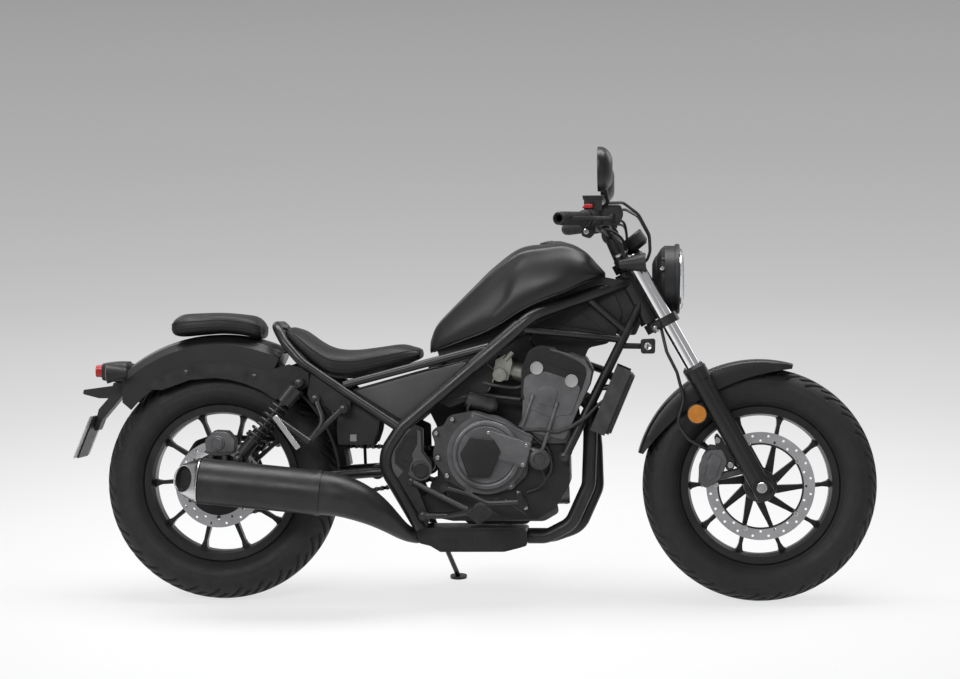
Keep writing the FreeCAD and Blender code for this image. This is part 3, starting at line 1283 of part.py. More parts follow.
def build():
    nodes = {}
    for maker in (front_wheel, rear_wheel, frame, seat_hoop, frame_covers, fuel_tank, seats, rear_bodywork,
                  tail, engine, engine_covers, intake_and_cooling, engine_hoses, exhaust, swingarm, shocks,
                  drive_chain, chain_guard, front_sprocket, fork, handlebar, bar_controls, mirrors,
                  lamps_and_meter, reflectors_and_lock, hoses, front_fender, calipers, footrests,
                  foot_controls, side_stand):
        nodes.update(maker())
    return nodes


def leaning(shift):
    """The placement that leans the upright machine to its left, onto the stand."""
    tilt = FreeCAD.Rotation(V(1, 0, 0), -lean_deg)
    lift = tyre_crown_radius * (1 - math.cos(math.radians(lean_deg)))
    return FreeCAD.Placement(V(0, 0, lift) + shift, tilt)


def parked(nodes):
    """Every node leaned over, with the origin under the middle of the whole."""
    upright = leaning(V(0, 0, 0))
    placed = {name: moved(shape, upright) for name, shape in nodes.items()}
    extent = FreeCAD.BoundBox()
    for shape in placed.values():
        extent.add(shape.optimalBoundingBox(False, False))
    shift = V(-extent.Center.x, -extent.Center.y, -extent.ZMin)
    return {name: moved(shape, FreeCAD.Placement(shift, FreeCAD.Rotation()))
            for name, shape in placed.items()}, shift


def moved(shape, placement):
    copy = shape.copy()
    copy.Placement = placement.multiply(copy.Placement)
    return copy


def main():
    os.makedirs("parts", exist_ok=True)
    nodes, shift = parked(build())
    for name, shape in nodes.items():
        shape.exportStep(os.path.join("parts", name + ".step"))
    print("nodes", len(nodes), "shift", [round(c, 4) for c in shift])


if __name__ == "__main__":
    main()
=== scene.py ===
"""Looks of the cruiser motorcycle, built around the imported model.

Pieces are laid out upright in the motorcycle's own axes (X forward from the rear axle, Y to the rider's
left, Z up from the ground), then leaned onto the side stand by the placement called parked. Places on the
machine are in millimetres; the tyres, the seats and the studio are in metres.
"""
import json
import math

import bmesh
import bpy
import numpy as np
from mathutils import Matrix, Vector
from mathutils.bvhtree import BVHTree


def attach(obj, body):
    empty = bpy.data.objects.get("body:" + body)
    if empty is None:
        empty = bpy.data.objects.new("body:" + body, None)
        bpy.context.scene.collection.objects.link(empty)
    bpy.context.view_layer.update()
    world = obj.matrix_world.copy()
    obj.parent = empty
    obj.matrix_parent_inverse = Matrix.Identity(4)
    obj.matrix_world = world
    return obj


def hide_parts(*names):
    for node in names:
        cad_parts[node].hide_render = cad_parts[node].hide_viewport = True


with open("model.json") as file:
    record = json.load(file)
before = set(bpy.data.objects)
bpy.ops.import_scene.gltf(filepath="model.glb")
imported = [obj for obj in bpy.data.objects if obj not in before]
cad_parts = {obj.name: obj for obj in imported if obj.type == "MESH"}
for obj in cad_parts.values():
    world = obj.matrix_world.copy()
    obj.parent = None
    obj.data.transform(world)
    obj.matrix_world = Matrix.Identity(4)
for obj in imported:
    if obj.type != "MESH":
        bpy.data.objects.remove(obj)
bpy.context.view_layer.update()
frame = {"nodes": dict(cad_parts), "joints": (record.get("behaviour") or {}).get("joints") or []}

scene = bpy.context.scene

# Places and sizes that the pieces share, in millimetres
MM = Matrix.Scale(0.001, 4)
LEAN = math.radians(8.5)
WHEELBASE = 1490
FRONT_AXLE_Z = 322
REAR_AXLE_Z = 326
RAKE = math.radians(29.3)
FORK_HALF_WIDTH = 105
SIDES = ((-1, "right"), (1, "left"))
RIGHT, LEFT, AHEAD = (0, -1, 0), (0, 1, 0), (1, 0, 0)
joint_at = {joint["name"]: Vector(joint["pos_m"]) for joint in frame["joints"]}
parked = (Matrix.Translation(joint_at["rear_wheel_spin"]) @ Matrix.Rotation(-LEAN, 4, "X")
          @ Matrix.Translation((0, 0, -REAR_AXLE_Z / 1000)))
upright = parked.inverted()


# Camera and light

CAMERA_AT = (1.13705, -6.75463, 0.79149)
CAMERA_YAW, CAMERA_PITCH, CAMERA_ROLL = -0.062, -0.0101, -0.0021
LENS_MM = 91.25


def place_camera():
    yaw, pitch, roll = CAMERA_YAW, CAMERA_PITCH, CAMERA_ROLL
    ahead = Vector((math.sin(yaw) * math.cos(pitch), math.cos(yaw) * math.cos(pitch), math.sin(pitch)))
    right = Vector((math.cos(yaw), -math.sin(yaw), 0))
    above = right.cross(ahead)
    across = right * math.cos(roll) + above * math.sin(roll)
    top = above * math.cos(roll) - right * math.sin(roll)
    turn = Matrix((across, top, -ahead)).transposed().to_4x4()
    data = bpy.data.cameras.new("camera")
    data.lens = LENS_MM
    data.sensor_width = 36.0
    data.clip_end = 300.0
    camera = bpy.data.objects.new("camera", data)
    scene.collection.objects.link(camera)
    camera.matrix_world = parked @ Matrix.Translation(CAMERA_AT) @ turn
    scene.camera = camera


def soft_box(name, at, target, size, power):
    data = bpy.data.lights.new(name, "AREA")
    data.shape = "RECTANGLE"
    data.size, data.size_y = size
    data.energy = power
    lamp = bpy.data.objects.new(name, data)
    scene.collection.objects.link(lamp)
    lamp.location = at
    lamp.rotation_euler = (Vector(target) - Vector(at)).to_track_quat("-Z", "Y").to_euler()


def studio():
    soft_box("overhead", (0.0, 0.2, 3.4), (0, 0, 0.3), (4.4, 1.4), 148)
    soft_box("key_side", (-1.9, -3.8, 3.0), (-0.1, 0, 0.5), (3.2, 1.0), 94)
    soft_box("fill_side", (2.6, -4.4, 1.2), (0.3, 0, 0.5), (1.2, 2.4), 9)
    soft_box("back_left", (-2.6, 3.0, 2.2), (0, 0, 0.6), (1.8, 1.8), 12)
    soft_box("back_right", (2.8, 2.8, 2.2), (0, 0, 0.6), (1.8, 1.8), 18)


def arithmetic(tree, operation, a, b=None):
    """A maths node on two values or sockets."""
    node = tree.nodes.new("ShaderNodeMath")
    node.operation = operation
    for socket, value in zip(node.inputs, (a, b)):
        if isinstance(value, (int, float)):
            socket.default_value = value
        elif value is not None:
            tree.links.new(value, socket)
    return node.outputs[0]


def studio_tones(tree, distance):
    """White near the object, falling to a soft grey far away as painted shade of the studio light fading with
    distance: tones by the logarithm of the distance.
    """
    stops = ((0.5, 1.0), (1.0, 0.985), (1.65, 0.925), (2.4, 0.83), (3.3, 0.72), (4.5, 0.645), (5.9, 0.562),
             (7.9, 0.508), (10.6, 0.468), (14.3, 0.436), (20.0, 0.412), (29.0, 0.391), (48.0, 0.368),
             (110.0, 0.335))
    first, last = math.log(stops[0][0]), math.log(stops[-1][0])
    place = arithmetic(tree, "LOGARITHM", arithmetic(tree, "MAXIMUM", distance, stops[0][0]), math.e)
    share = arithmetic(tree, "DIVIDE", arithmetic(tree, "SUBTRACT", place, first), last - first)
    ramp = tree.nodes.new("ShaderNodeValToRGB")
    while len(ramp.color_ramp.elements) < len(stops):
        ramp.color_ramp.elements.new(0.5)
    for element, (at, tone) in zip(ramp.color_ramp.elements, stops):
        element.position = (math.log(at) - first) / (last - first)
        element.color = (tone, tone, tone * 1.012, 1)
    tree.links.new(share, ramp.inputs["Fac"])
    return ramp.outputs["Color"]


def seen_rays(tree):
    """One for rays that show the backdrop itself, also in mirrors and through glass."""
    seen = tree.nodes.new("ShaderNodeLightPath")
    views = arithmetic(tree, "MAXIMUM", seen.outputs["Is Camera Ray"], seen.outputs["Is Glossy Ray"])
    return arithmetic(tree, "MAXIMUM", views, seen.outputs["Is Transmission Ray"])


FLOOR_HALF = 120.0
FLOOR_SHADE, FLOOR_SEEN_SHADE = 0.46, 0.34
GLOW_NEAR, GLOW_FAR, GLOW_LEAST = 0.7, 3.2, 0.70


def studio_floor():
    """A floor that takes the machine's shadow near it and glows in the studio's tones further away; their
    fall to grey is painted shade.
    """
    size = FLOOR_HALF
    mesh = bpy.data.meshes.new("floor")
    corners = [(-size, -size, 0), (size, -size, 0), (size, size, 0), (-size, size, 0)]
    mesh.from_pydata(corners, [], [(0, 1, 2, 3)])
    floor = bpy.data.objects.new("floor", mesh)
    scene.collection.objects.link(floor)
    material = bpy.data.materials.new("floor_white")
    material.use_nodes = True
    tree = material.node_tree
    nodes, links = tree.nodes, tree.links
    nodes.clear()
    place = nodes.new("ShaderNodeTexCoord")
    length = nodes.new("ShaderNodeVectorMath")
    length.operation = "LENGTH"
    links.new(place.outputs["Object"], length.inputs[0])
    distance = length.outputs["Value"]
    tone = studio_tones(tree, distance)
    glow = nodes.new("ShaderNodeEmission")
    links.new(tone, glow.inputs["Color"])
    paint = nodes.new("ShaderNodeBsdfDiffuse")
    views = seen_rays(tree)
    shade = arithmetic(tree, "ADD", arithmetic(tree, "MULTIPLY", views, FLOOR_SEEN_SHADE), FLOOR_SHADE)
    links.new(shade, paint.inputs["Color"])
    far = nodes.new("ShaderNodeMapRange")
    for key, value in (("From Min", GLOW_NEAR), ("From Max", GLOW_FAR), ("To Min", GLOW_LEAST),
                       ("To Max", 1.0)):
        far.inputs[key].default_value = value
    links.new(distance, far.inputs["Value"])
    share = arithmetic(tree, "MULTIPLY", views, far.outputs["Result"])
    mix = nodes.new("ShaderNodeMixShader")
    links.new(share, mix.inputs["Fac"])
    links.new(paint.outputs[0], mix.inputs[1])
    links.new(glow.outputs[0], mix.inputs[2])
    out = nodes.new("ShaderNodeOutputMaterial")
    links.new(mix.outputs[0], out.inputs["Surface"])
    mesh.materials.append(material)


AIR_COLOUR = (0.335, 0.335, 0.342, 1)
AIR_LIGHT, AIR_SEEN = 0.55, 0.45


def studio_air():
    """The world's light; rays that see it get the tone of the floor's far end, the grey of the painted shade.
    """
    world = bpy.data.worlds.new("studio")
    scene.world = world
    world.use_nodes = True
    back = world.node_tree.nodes["Background"]
    back.inputs["Color"].default_value = AIR_COLOUR
    tree = world.node_tree
    share = arithmetic(tree, "MULTIPLY", seen_rays(tree), AIR_SEEN)
    tree.links.new(arithmetic(tree, "ADD", share, AIR_LIGHT), back.inputs["Strength"])
    scene.view_settings.view_transform = "Standard"


# Materials

class Finish:
    """A material under construction: its tree, its main shader and the object's own coordinates."""

    def __init__(self, name, colour, roughness, metallic=0.0, specular=0.5):
        self.material = bpy.data.materials.new(name)
        self.material.use_nodes = True
        self.tree = self.material.node_tree
        self.shader = self.tree.nodes["Principled BSDF"]
        self.shader.inputs["Base Color"].default_value = (*colour, 1)
        self.shader.inputs["Roughness"].default_value = roughness
        self.shader.inputs["Metallic"].default_value = metallic
        self.shader.inputs["Specular IOR Level"].default_value = specular
        self.colour = colour
        self.roughness = roughness
        self.bumps = []
        place = self.tree.nodes.new("ShaderNodeTexCoord")
        self.place = place.outputs["Object"]

    def link(self, a, b):
        self.tree.links.new(a, b)

    def noise(self, scale, detail, stretch=None):
        node = self.tree.nodes.new("ShaderNodeTexNoise")
        node.inputs["Scale"].default_value = scale
        node.inputs["Detail"].default_value = detail
        node.inputs["Roughness"].default_value = 0.55
        self.link(self.stretched(stretch), node.inputs["Vector"])
        return node.outputs["Fac"]

    def cells(self, scale, feature="F1"):
        node = self.tree.nodes.new("ShaderNodeTexVoronoi")
        node.feature = feature
        node.inputs["Scale"].default_value = scale
        self.link(self.place, node.inputs["Vector"])
        return node.outputs["Distance"]

    def stretched(self, stretch):
        if stretch is None:
            return self.place
        node = self.tree.nodes.new("ShaderNodeMapping")
        node.inputs["Scale"].default_value = stretch
        self.link(self.place, node.inputs["Vector"])
        return node.outputs["Vector"]

    def about(self, centre):
        """Distance from an axle, for rings turned or brushed round it."""
        node = self.tree.nodes.new("ShaderNodeMapping")
        move = Matrix.Translation(-Vector(centre)) @ upright
        node.inputs["Location"].default_value = move.to_translation()
        node.inputs["Rotation"].default_value = move.to_euler()
        self.link(self.place, node.inputs["Vector"])
        flat = self.tree.nodes.new("ShaderNodeVectorMath")
        flat.operation = "MULTIPLY"
        flat.inputs[1].default_value = (1, 0, 1)
        self.link(node.outputs["Vector"], flat.inputs[0])
        size = self.tree.nodes.new("ShaderNodeVectorMath")
        size.operation = "LENGTH"
        self.link(flat.outputs["Vector"], size.inputs[0])
        return size.outputs["Value"]

    def mapped(self, value, low, high, to_low, to_high):
        node = self.tree.nodes.new("ShaderNodeMapRange")
        for key, number in (("From Min", low), ("From Max", high), ("To Min", to_low), ("To Max", to_high)):
            node.inputs[key].default_value = number
        self.link(value, node.inputs["Value"])
        return node.outputs["Result"]

    def mottle(self, scale, amount, other=None):
        """Colour that drifts towards another one over the surface."""
        other = other or tuple(min(1, c * 1.9 + 0.006) for c in self.colour)
        share = self.mapped(self.noise(scale, 5.0), 0.38, 0.72, 0.0, amount)
        mix = self.tree.nodes.new("ShaderNodeMix")
        mix.data_type = "RGBA"
        mix.inputs["A"].default_value = (*self.colour, 1)
        mix.inputs["B"].default_value = (*other, 1)
        self.link(share, mix.inputs["Factor"])
        self.link(mix.outputs["Result"], self.shader.inputs["Base Color"])
        return self

    def wear(self, scale, spread):
        """Roughness that varies from place to place."""
        rough = self.mapped(self.noise(scale, 6.0), 0.35, 0.7, self.roughness - spread,
                            self.roughness + spread)
        self.link(rough, self.shader.inputs["Roughness"])
        return self

    def relief(self, height, strength, distance):
        bump = self.tree.nodes.new("ShaderNodeBump")
        bump.inputs["Strength"].default_value = strength
        bump.inputs["Distance"].default_value = distance
        self.link(height, bump.inputs["Height"])
        if self.bumps:
            self.link(self.bumps[-1].outputs["Normal"], bump.inputs["Normal"])
        self.bumps.append(bump)
        self.link(bump.outputs["Normal"], self.shader.inputs["Normal"])
        return self

    def grain(self, scale, strength, distance=0.0004, detail=3.0, stretch=None):
        return self.relief(self.noise(scale, detail, stretch), strength, distance)


def ringed(finish, centre, spacing, strength, distance=0.0002):
    """Fine turned or brushed rings about an axle."""
    wave = arithmetic(finish.tree, "MULTIPLY", finish.about(centre), 2 * math.pi / spacing)
    return finish.relief(arithmetic(finish.tree, "SINE", wave), strength, distance)


front_axle = (WHEELBASE / 1000, 0, FRONT_AXLE_Z / 1000)
rear_axle = (0, 0, REAR_AXLE_Z / 1000)

body_black = Finish("body_black", (0.010, 0.010, 0.0105), 0.38, 0.0, 0.42)
body_black.mottle(3.0, 0.5, (0.014, 0.014, 0.0145)).wear(9.0, 0.035).grain(2600, 0.05, 0.0002)
frame_black = Finish("frame_black", (0.011, 0.011, 0.0115), 0.33, 0.0, 0.46)
frame_black.mottle(14.0, 0.6).wear(30.0, 0.06).grain(900, 0.10, 0.0002)
wheel_black = Finish("wheel_black", (0.010, 0.010, 0.0105), 0.35, 0.1, 0.42)
wheel_black.mottle(10.0, 0.5).wear(24.0, 0.06).grain(1300, 0.12, 0.0002)
trim_black = Finish("trim_black", (0.013, 0.013, 0.0135), 0.48, 0.0, 0.36)
trim_black.mottle(20.0, 0.6).wear(60.0, 0.07).grain(1700, 0.35, 0.0003)
cover_grey = Finish("cover_grey", (0.06, 0.06, 0.0624), 0.48)
cover_grey.mottle(6.0, 0.6).wear(18.0, 0.05).grain(1500, 0.15, 0.0002)
engine_black = Finish("engine_black", (0.0425, 0.0425, 0.04375), 0.45, 0.35, 0.5)
engine_black.mottle(26.0, 0.7).wear(70.0, 0.09).grain(1500, 0.45, 0.0004)
# Darkest casting finish: painted shade where it darkens the recessed crankcase and the filler behind the
# engine, and elsewhere the parts' own dark casting.
engine_dark_and_shade = Finish("engine_dark_and_shade", (0.012, 0.012, 0.0125), 0.55, 0.2, 0.4)
engine_dark_and_shade.mottle(24.0, 0.7, (0.02, 0.02, 0.021)).wear(60.0, 0.08).grain(1500, 0.4, 0.0004)
engine_satin = Finish("engine_satin", (0.1056, 0.1056, 0.1092), 0.38, 0.40, 0.5)
engine_satin.mottle(18.0, 0.6).wear(50.0, 0.06).grain(2200, 0.18, 0.0003)
bolt_steel = Finish("bolt_steel", (0.50, 0.50, 0.49), 0.30, 1.0)
bolt_steel.mottle(16.0, 0.5, (0.42, 0.42, 0.41)).wear(40.0, 0.05).grain(700, 0.02, 0.0001)
plug_silver = Finish("plug_silver", (0.46, 0.46, 0.46), 0.40, 0.3)
plug_silver.mottle(20.0, 0.5, (0.38, 0.38, 0.38)).wear(50.0, 0.06).grain(1500, 0.05, 0.0001)
cap_silver = Finish("cap_silver", (0.66, 0.66, 0.67), 0.27, 1.0)
cap_silver.mottle(9.0, 0.5, (0.58, 0.58, 0.59)).wear(20.0, 0.04).grain(500, 0.015, 0.0001)
exhaust_black = Finish("exhaust_black", (0.019, 0.019, 0.0195), 0.38, 0.2, 0.36)
exhaust_black.mottle(12.0, 0.6).wear(30.0, 0.07).grain(1100, 0.16, 0.0003)
fork_chrome = Finish("fork_chrome", (0.86, 0.86, 0.87), 0.10, 1.0)
fork_chrome.mottle(8.0, 0.4, (0.78, 0.78, 0.80)).wear(40.0, 0.03).grain(700, 0.02, 0.0001, 2.0, (1, 1, 0.1))
chain_steel = Finish("chain_steel", (0.20, 0.19, 0.18), 0.36, 1.0)
chain_steel.mottle(110.0, 0.8, (0.09, 0.08, 0.07)).wear(160.0, 0.12).grain(1500, 0.2, 0.0002)
alloy_grey = Finish("alloy_grey", (0.30, 0.30, 0.27), 0.46, 0.8)
alloy_grey.mottle(40.0, 0.7, (0.18, 0.18, 0.15)).wear(90.0, 0.08).grain(1800, 0.4, 0.0004)
tyre_rubber = Finish("tyre_rubber", (0.019, 0.019, 0.019), 0.60, 0.0, 0.32)
tyre_rubber.mottle(24.0, 0.7, (0.027, 0.0265, 0.026)).wear(60.0, 0.08).grain(1900, 0.22, 0.0003)
grip_rubber = Finish("grip_rubber", (0.016, 0.016, 0.016), 0.62, 0.0, 0.35)
grip_rubber.mottle(50.0, 0.6).wear(90.0, 0.06).grain(2100, 0.30, 0.0003)
hose_rubber = Finish("hose_rubber", (0.014, 0.014, 0.014), 0.42, 0.0, 0.5)
hose_rubber.mottle(30.0, 0.5).wear(60.0, 0.05).grain(1600, 0.12, 0.0002)
mirror_black = Finish("mirror_black", (0.012, 0.012, 0.013), 0.36, 0.0, 0.4)
mirror_black.mottle(12.0, 0.4).wear(30.0, 0.03).grain(1400, 0.03, 0.0001)
plate_white = Finish("plate_white", (0.74, 0.74, 0.72), 0.35)
plate_white.mottle(20.0, 0.5, (0.64, 0.64, 0.61)).wear(50.0, 0.05).grain(900, 0.06, 0.0002)
amber_plastic = Finish("amber_plastic", (0.62, 0.22, 0.02), 0.22, 0.0, 0.6)
amber_plastic.mottle(60.0, 0.6, (0.80, 0.34, 0.05)).relief(amber_plastic.cells(420.0), 0.5, 0.0006)
red_plastic = Finish("red_plastic", (0.42, 0.010, 0.012), 0.18, 0.0, 0.6)
red_plastic.mottle(40.0, 0.6, (0.60, 0.03, 0.03)).relief(red_plastic.cells(300.0), 0.4, 0.0005)

seat_leather = Finish("seat_leather", (0.013, 0.013, 0.0135), 0.50, 0.0, 0.25)
seat_leather.mottle(12.0, 0.7, (0.027, 0.027, 0.027)).wear(22.0, 0.07)
seat_leather.relief(seat_leather.cells(620.0, "DISTANCE_TO_EDGE"), 0.35, 0.0005).grain(2400, 0.15, 0.0002)

front_disc_steel = Finish("front_disc_steel", (0.55, 0.55, 0.56), 0.28, 1.0)
front_disc_steel.mottle(7.0, 0.5, (0.47, 0.47, 0.47)).wear(16.0, 0.04)
ringed(front_disc_steel, front_axle, 0.0011, 0.010)
rear_disc_steel = Finish("rear_disc_steel", (0.55, 0.55, 0.56), 0.28, 1.0)
rear_disc_steel.mottle(7.0, 0.5, (0.47, 0.47, 0.47)).wear(16.0, 0.04)
ringed(rear_disc_steel, rear_axle, 0.0011, 0.010)
sprocket_steel = Finish("sprocket_steel", (0.30, 0.30, 0.30), 0.34, 1.0)
sprocket_steel.mottle(30.0, 0.6, (0.18, 0.18, 0.17)).wear(60.0, 0.08)
ringed(sprocket_steel, rear_axle, 0.0013, 0.10)

clear_lens = Finish("clear_lens", (0.95, 0.97, 0.98), 0.03)
clear_lens.shader.inputs["Transmission Weight"].default_value = 1.0
clear_lens.shader.inputs["IOR"].default_value = 1.15
clear_lens.grain(60.0, 0.02, 0.0002)
frame_bolt = Finish("frame_bolt", (0.045, 0.045, 0.047), 0.36, 0.7)
frame_bolt.mottle(80.0, 0.6, (0.09, 0.088, 0.085)).wear(160.0, 0.08).grain(2000, 0.1, 0.0002)
gasket_grey = Finish("gasket_grey", (0.10, 0.10, 0.10), 0.7)
gasket_grey.mottle(70.0, 0.6).wear(120.0, 0.06).grain(1500, 0.2, 0.0002)
# Near-black finish: soot in the muffler's outlet, and painted shade in the depth of that outlet and in the
# lock's keyhole.
soot_and_shade_black = Finish("soot_and_shade_black", (0.008, 0.008, 0.008), 0.8)
soot_and_shade_black.mottle(40.0, 0.7, (0.02, 0.018, 0.016)).wear(70.0, 0.08).grain(900, 0.4, 0.0004)
lamp_unit = Finish("lamp_unit", (0.10, 0.10, 0.105), 0.25, 0.6)
lamp_unit.mottle(60.0, 0.5, (0.2, 0.2, 0.21)).wear(90.0, 0.06).grain(600, 0.05, 0.0002)
dial_glass = Finish("dial_glass", (0.012, 0.013, 0.015), 0.06, 0.0, 0.6)
dial_glass.mottle(14.0, 0.5, (0.02, 0.022, 0.024)).wear(30.0, 0.02).grain(90, 0.01, 0.0001)
label_grey = Finish("label_grey", (0.32, 0.32, 0.32), 0.5)
label_grey.mottle(60.0, 0.5, (0.26, 0.26, 0.25)).wear(90.0, 0.05).grain(1500, 0.1, 0.0002)
thread_grey = Finish("thread_grey", (0.045, 0.045, 0.046), 0.6)
thread_grey.mottle(90.0, 0.6).wear(120.0, 0.06).grain(1600, 0.2, 0.0002)
red_switch = Finish("red_switch", (0.60, 0.015, 0.015), 0.34, 0.0, 0.5)
red_switch.mottle(60.0, 0.6, (0.45, 0.01, 0.01)).wear(90.0, 0.05).grain(1500, 0.1, 0.0002)
mirror_glass = Finish("mirror_glass", (0.85, 0.87, 0.88), 0.03, 1.0)
mirror_glass.mottle(6.0, 0.3, (0.80, 0.82, 0.84)).grain(30.0, 0.005, 0.0001)
reflector_chrome = Finish("reflector_chrome", (0.80, 0.80, 0.81), 0.16, 1.0)
reflector_chrome.mottle(20.0, 0.4, (0.7, 0.7, 0.72)).grain(200.0, 0.05, 0.0003)

NODES_OF_FINISH = (
    (wheel_black, "front_rim rear_rim fork_lowers"),
    (front_disc_steel, "front_disc"),
    (rear_disc_steel, "rear_disc"),
    (sprocket_steel, "rear_sprocket"),
    (frame_black, "frame seat_hoop fender_stays swingarm shock_absorbers shock_springs lower_crown "
                  "upper_crown handlebar footrests side_stand foot_controls"),
    (cover_grey, "side_covers"),
    (body_black, "fuel_tank rear_fender front_fender"),
    (trim_black, "tail_lamp rear_signals plate_carrier bar_controls headlight meter front_signals "
                 "chain_guard key_lock"),
    (red_plastic, "tail_lens"),
    (plate_white, "licence_plate"),
    # The crankcase takes the darkest casting finish: painted shade for its recessed place behind the covers.
    (engine_dark_and_shade, "crankcase"),
    (engine_black, "cylinders radiator front_caliper rear_caliper"),
    (engine_satin, "right_engine_covers left_engine_covers"),
    (alloy_grey, "intake"),
    (exhaust_black, "exhaust_headers exhaust_chamber muffler"),
    (cap_silver, "muffler_tip"),
    (bolt_steel, "rear_bolts front_axle"),
    (chain_steel, "drive_chain front_sprocket"),
    (fork_chrome, "fork_tubes"),
    (grip_rubber, "grips"),
    (mirror_black, "mirrors"),
    (clear_lens, "headlight_lens"),
    (tyre_rubber, "front_tyre rear_tyre"),
    (seat_leather, "rider_seat passenger_seat"),
    (hose_rubber, "hoses engine_hoses"),
    (amber_plastic, "side_reflectors"),
)
FINISHES = {node: finish for finish, nodes in NODES_OF_FINISH for node in nodes.split()}


def dress_nodes():
    for name, node in frame["nodes"].items():
        node.data.materials.clear()
        node.data.materials.append(FINISHES[name].material)


# Finish, body and slot of the pieces that share them
FORK_TRIM = (trim_black, "fork", "trim_black")
CHASSIS_TRIM = (trim_black, "chassis", "trim_black")
SATIN_CASTING = (engine_satin, "chassis", "engine_black")
BLACK_CASTING = (engine_black, "chassis", "engine_black")
# The darkest casting finish, partly painted shade.
DARK_CASTING_AND_SHADE = (engine_dark_and_shade, "chassis", "engine_black")
CALIPER_CASTING = (engine_satin, "fork", "engine_black")
FORK_BOLT = (bolt_steel, "fork", "bolt_steel")
CHASSIS_BOLT = (bolt_steel, "chassis", "bolt_steel")
EXHAUST = (exhaust_black, "chassis", "exhaust_black")
GRIP = (grip_rubber, "fork", "grip_rubber")
PEG_RUBBER = (grip_rubber, "chassis", "grip_rubber")
SEAT_COVER = (seat_leather, "chassis", "seat_cover")
FORK_FRAME = (frame_black, "fork", "frame_black")
CHAIN = (chain_steel, "chassis", "chain_steel")
TANK_PAINT = (body_black, "chassis", "body_black")
PIVOT_PLATE = (cover_grey, "chassis", "frame_black")
BAR_HOSE = (hose_rubber, "fork", "grip_rubber")


# Mesh builders

def made(name, verts, faces, finish, body, slot, at=None, merge=False):
    """A piece of the upright machine, leaned into place, that rides on a body."""
    mesh = bpy.data.meshes.new(name)
    mesh.from_pydata([tuple(v) for v in verts], [], faces)
    if merge:
        shape = bmesh.new()
        shape.from_mesh(mesh)
        bmesh.ops.remove_doubles(shape, verts=shape.verts, dist=1e-4)
        shape.to_mesh(mesh)
        shape.free()
    mesh.validate()
    piece = bpy.data.objects.new(name, mesh)
    scene.collection.objects.link(piece)
    return settled(piece, finish, body, slot, at)


def settled(piece, finish, body, slot, at=None, sharp=40):
    """Leans a piece into place, turns its faces outward and gives it its finish and body."""
    mesh = piece.data
    if at is not None:
        mesh.transform(at)
    mesh.transform(parked)
    shell = bmesh.new()
    shell.from_mesh(mesh)
    bmesh.ops.recalc_face_normals(shell, faces=shell.faces)
    shell.to_mesh(mesh)
    shell.free()
    mesh.shade_smooth()
    mesh.set_sharp_from_angle(angle=math.radians(sharp))
    mesh.materials.clear()
    mesh.materials.append(finish.material)
    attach(piece, body)
    return piece


def grid_faces(rows, columns, closed_rows=False, closed_columns=True):
    faces = []
    for i in range(rows if closed_rows else rows - 1):
        for j in range(columns if closed_columns else columns - 1):
            a, b = i * columns + j, i * columns + (j + 1) % columns
            k = (i + 1) % rows
            faces.append((a, b, k * columns + (j + 1) % columns, k * columns + j))
    return faces


def lathe(name, profile, centre, axis, finish, body, slot, steps=48):
    """A turned piece: (along, radius) points in millimetres spun about an axis through the centre."""
    axis = Vector(axis).normalized()
    side = axis.orthogonal().normalized()
    other = axis.cross(side)
    verts = []
    for i in range(steps):
        angle = 2 * math.pi * i / steps
        outward = side * math.cos(angle) + other * math.sin(angle)
        verts += [Vector(centre) + axis * a + outward * r for a, r in profile]
    faces = grid_faces(steps, len(profile), True, profile[0][1] > 0 and profile[-1][1] > 0)
    return made(name, verts, faces, finish, body, slot, MM, merge=True)


def spline(points, count):
    """A smooth line through the points, as an array."""
    table = np.array(points, float)
    ends = np.vstack([2 * table[0] - table[1], table, 2 * table[-1] - table[-2]])
    lengths = np.linalg.norm(np.diff(table, axis=0), axis=1)
    marks = np.concatenate([[0], np.cumsum(lengths)])
    out = []
    for mark in np.linspace(0, marks[-1], count):
        i = min(int(np.searchsorted(marks, mark, "right")) - 1, len(table) - 2)
        t = (mark - marks[i]) / lengths[i]
        a, b, c, d = ends[i:i + 4]
        out.append(0.5 * (2 * b + (c - a) * t + (2 * a - 5 * b + 4 * c - d) * t**2
                          + (3 * b - a - 3 * c + d) * t**3))
    return np.array(out)


def cross_directions(path):
    """Two cross directions at every point of a path, without twist."""
    tangents = np.gradient(path, axis=0)
    tangents /= np.linalg.norm(tangents, axis=1, keepdims=True)
    side = np.cross(tangents[0], [0.13, 0.31, 0.94])
    sides = []
    for tangent in tangents:
        side = side - tangent * side.dot(tangent)
        side = side / np.linalg.norm(side)
        sides.append(side)
    sides = np.array(sides)
    return sides, np.cross(tangents, sides)


def swept(name, points, radius, finish, body, slot, steps=14, count=None):
    """A round cord or tube along a smooth path; the radius may vary along it."""
    count = count or max(8, len(points) * 8)
    path = spline(points, count)
    side, other = cross_directions(path)
    radii = np.interp(np.linspace(0, 1, count), np.linspace(0, 1, np.size(radius)), np.atleast_1d(radius))
    angles = np.arange(steps) * 2 * math.pi / steps
    rings = [path[i] + radii[i] * (np.outer(np.cos(angles), side[i]) + np.outer(np.sin(angles), other[i]))
             for i in range(count)]
    verts, faces = skinned([[tuple(v) for v in ring] for ring in rings])
    return made(name, verts, faces, finish, body, slot, MM)


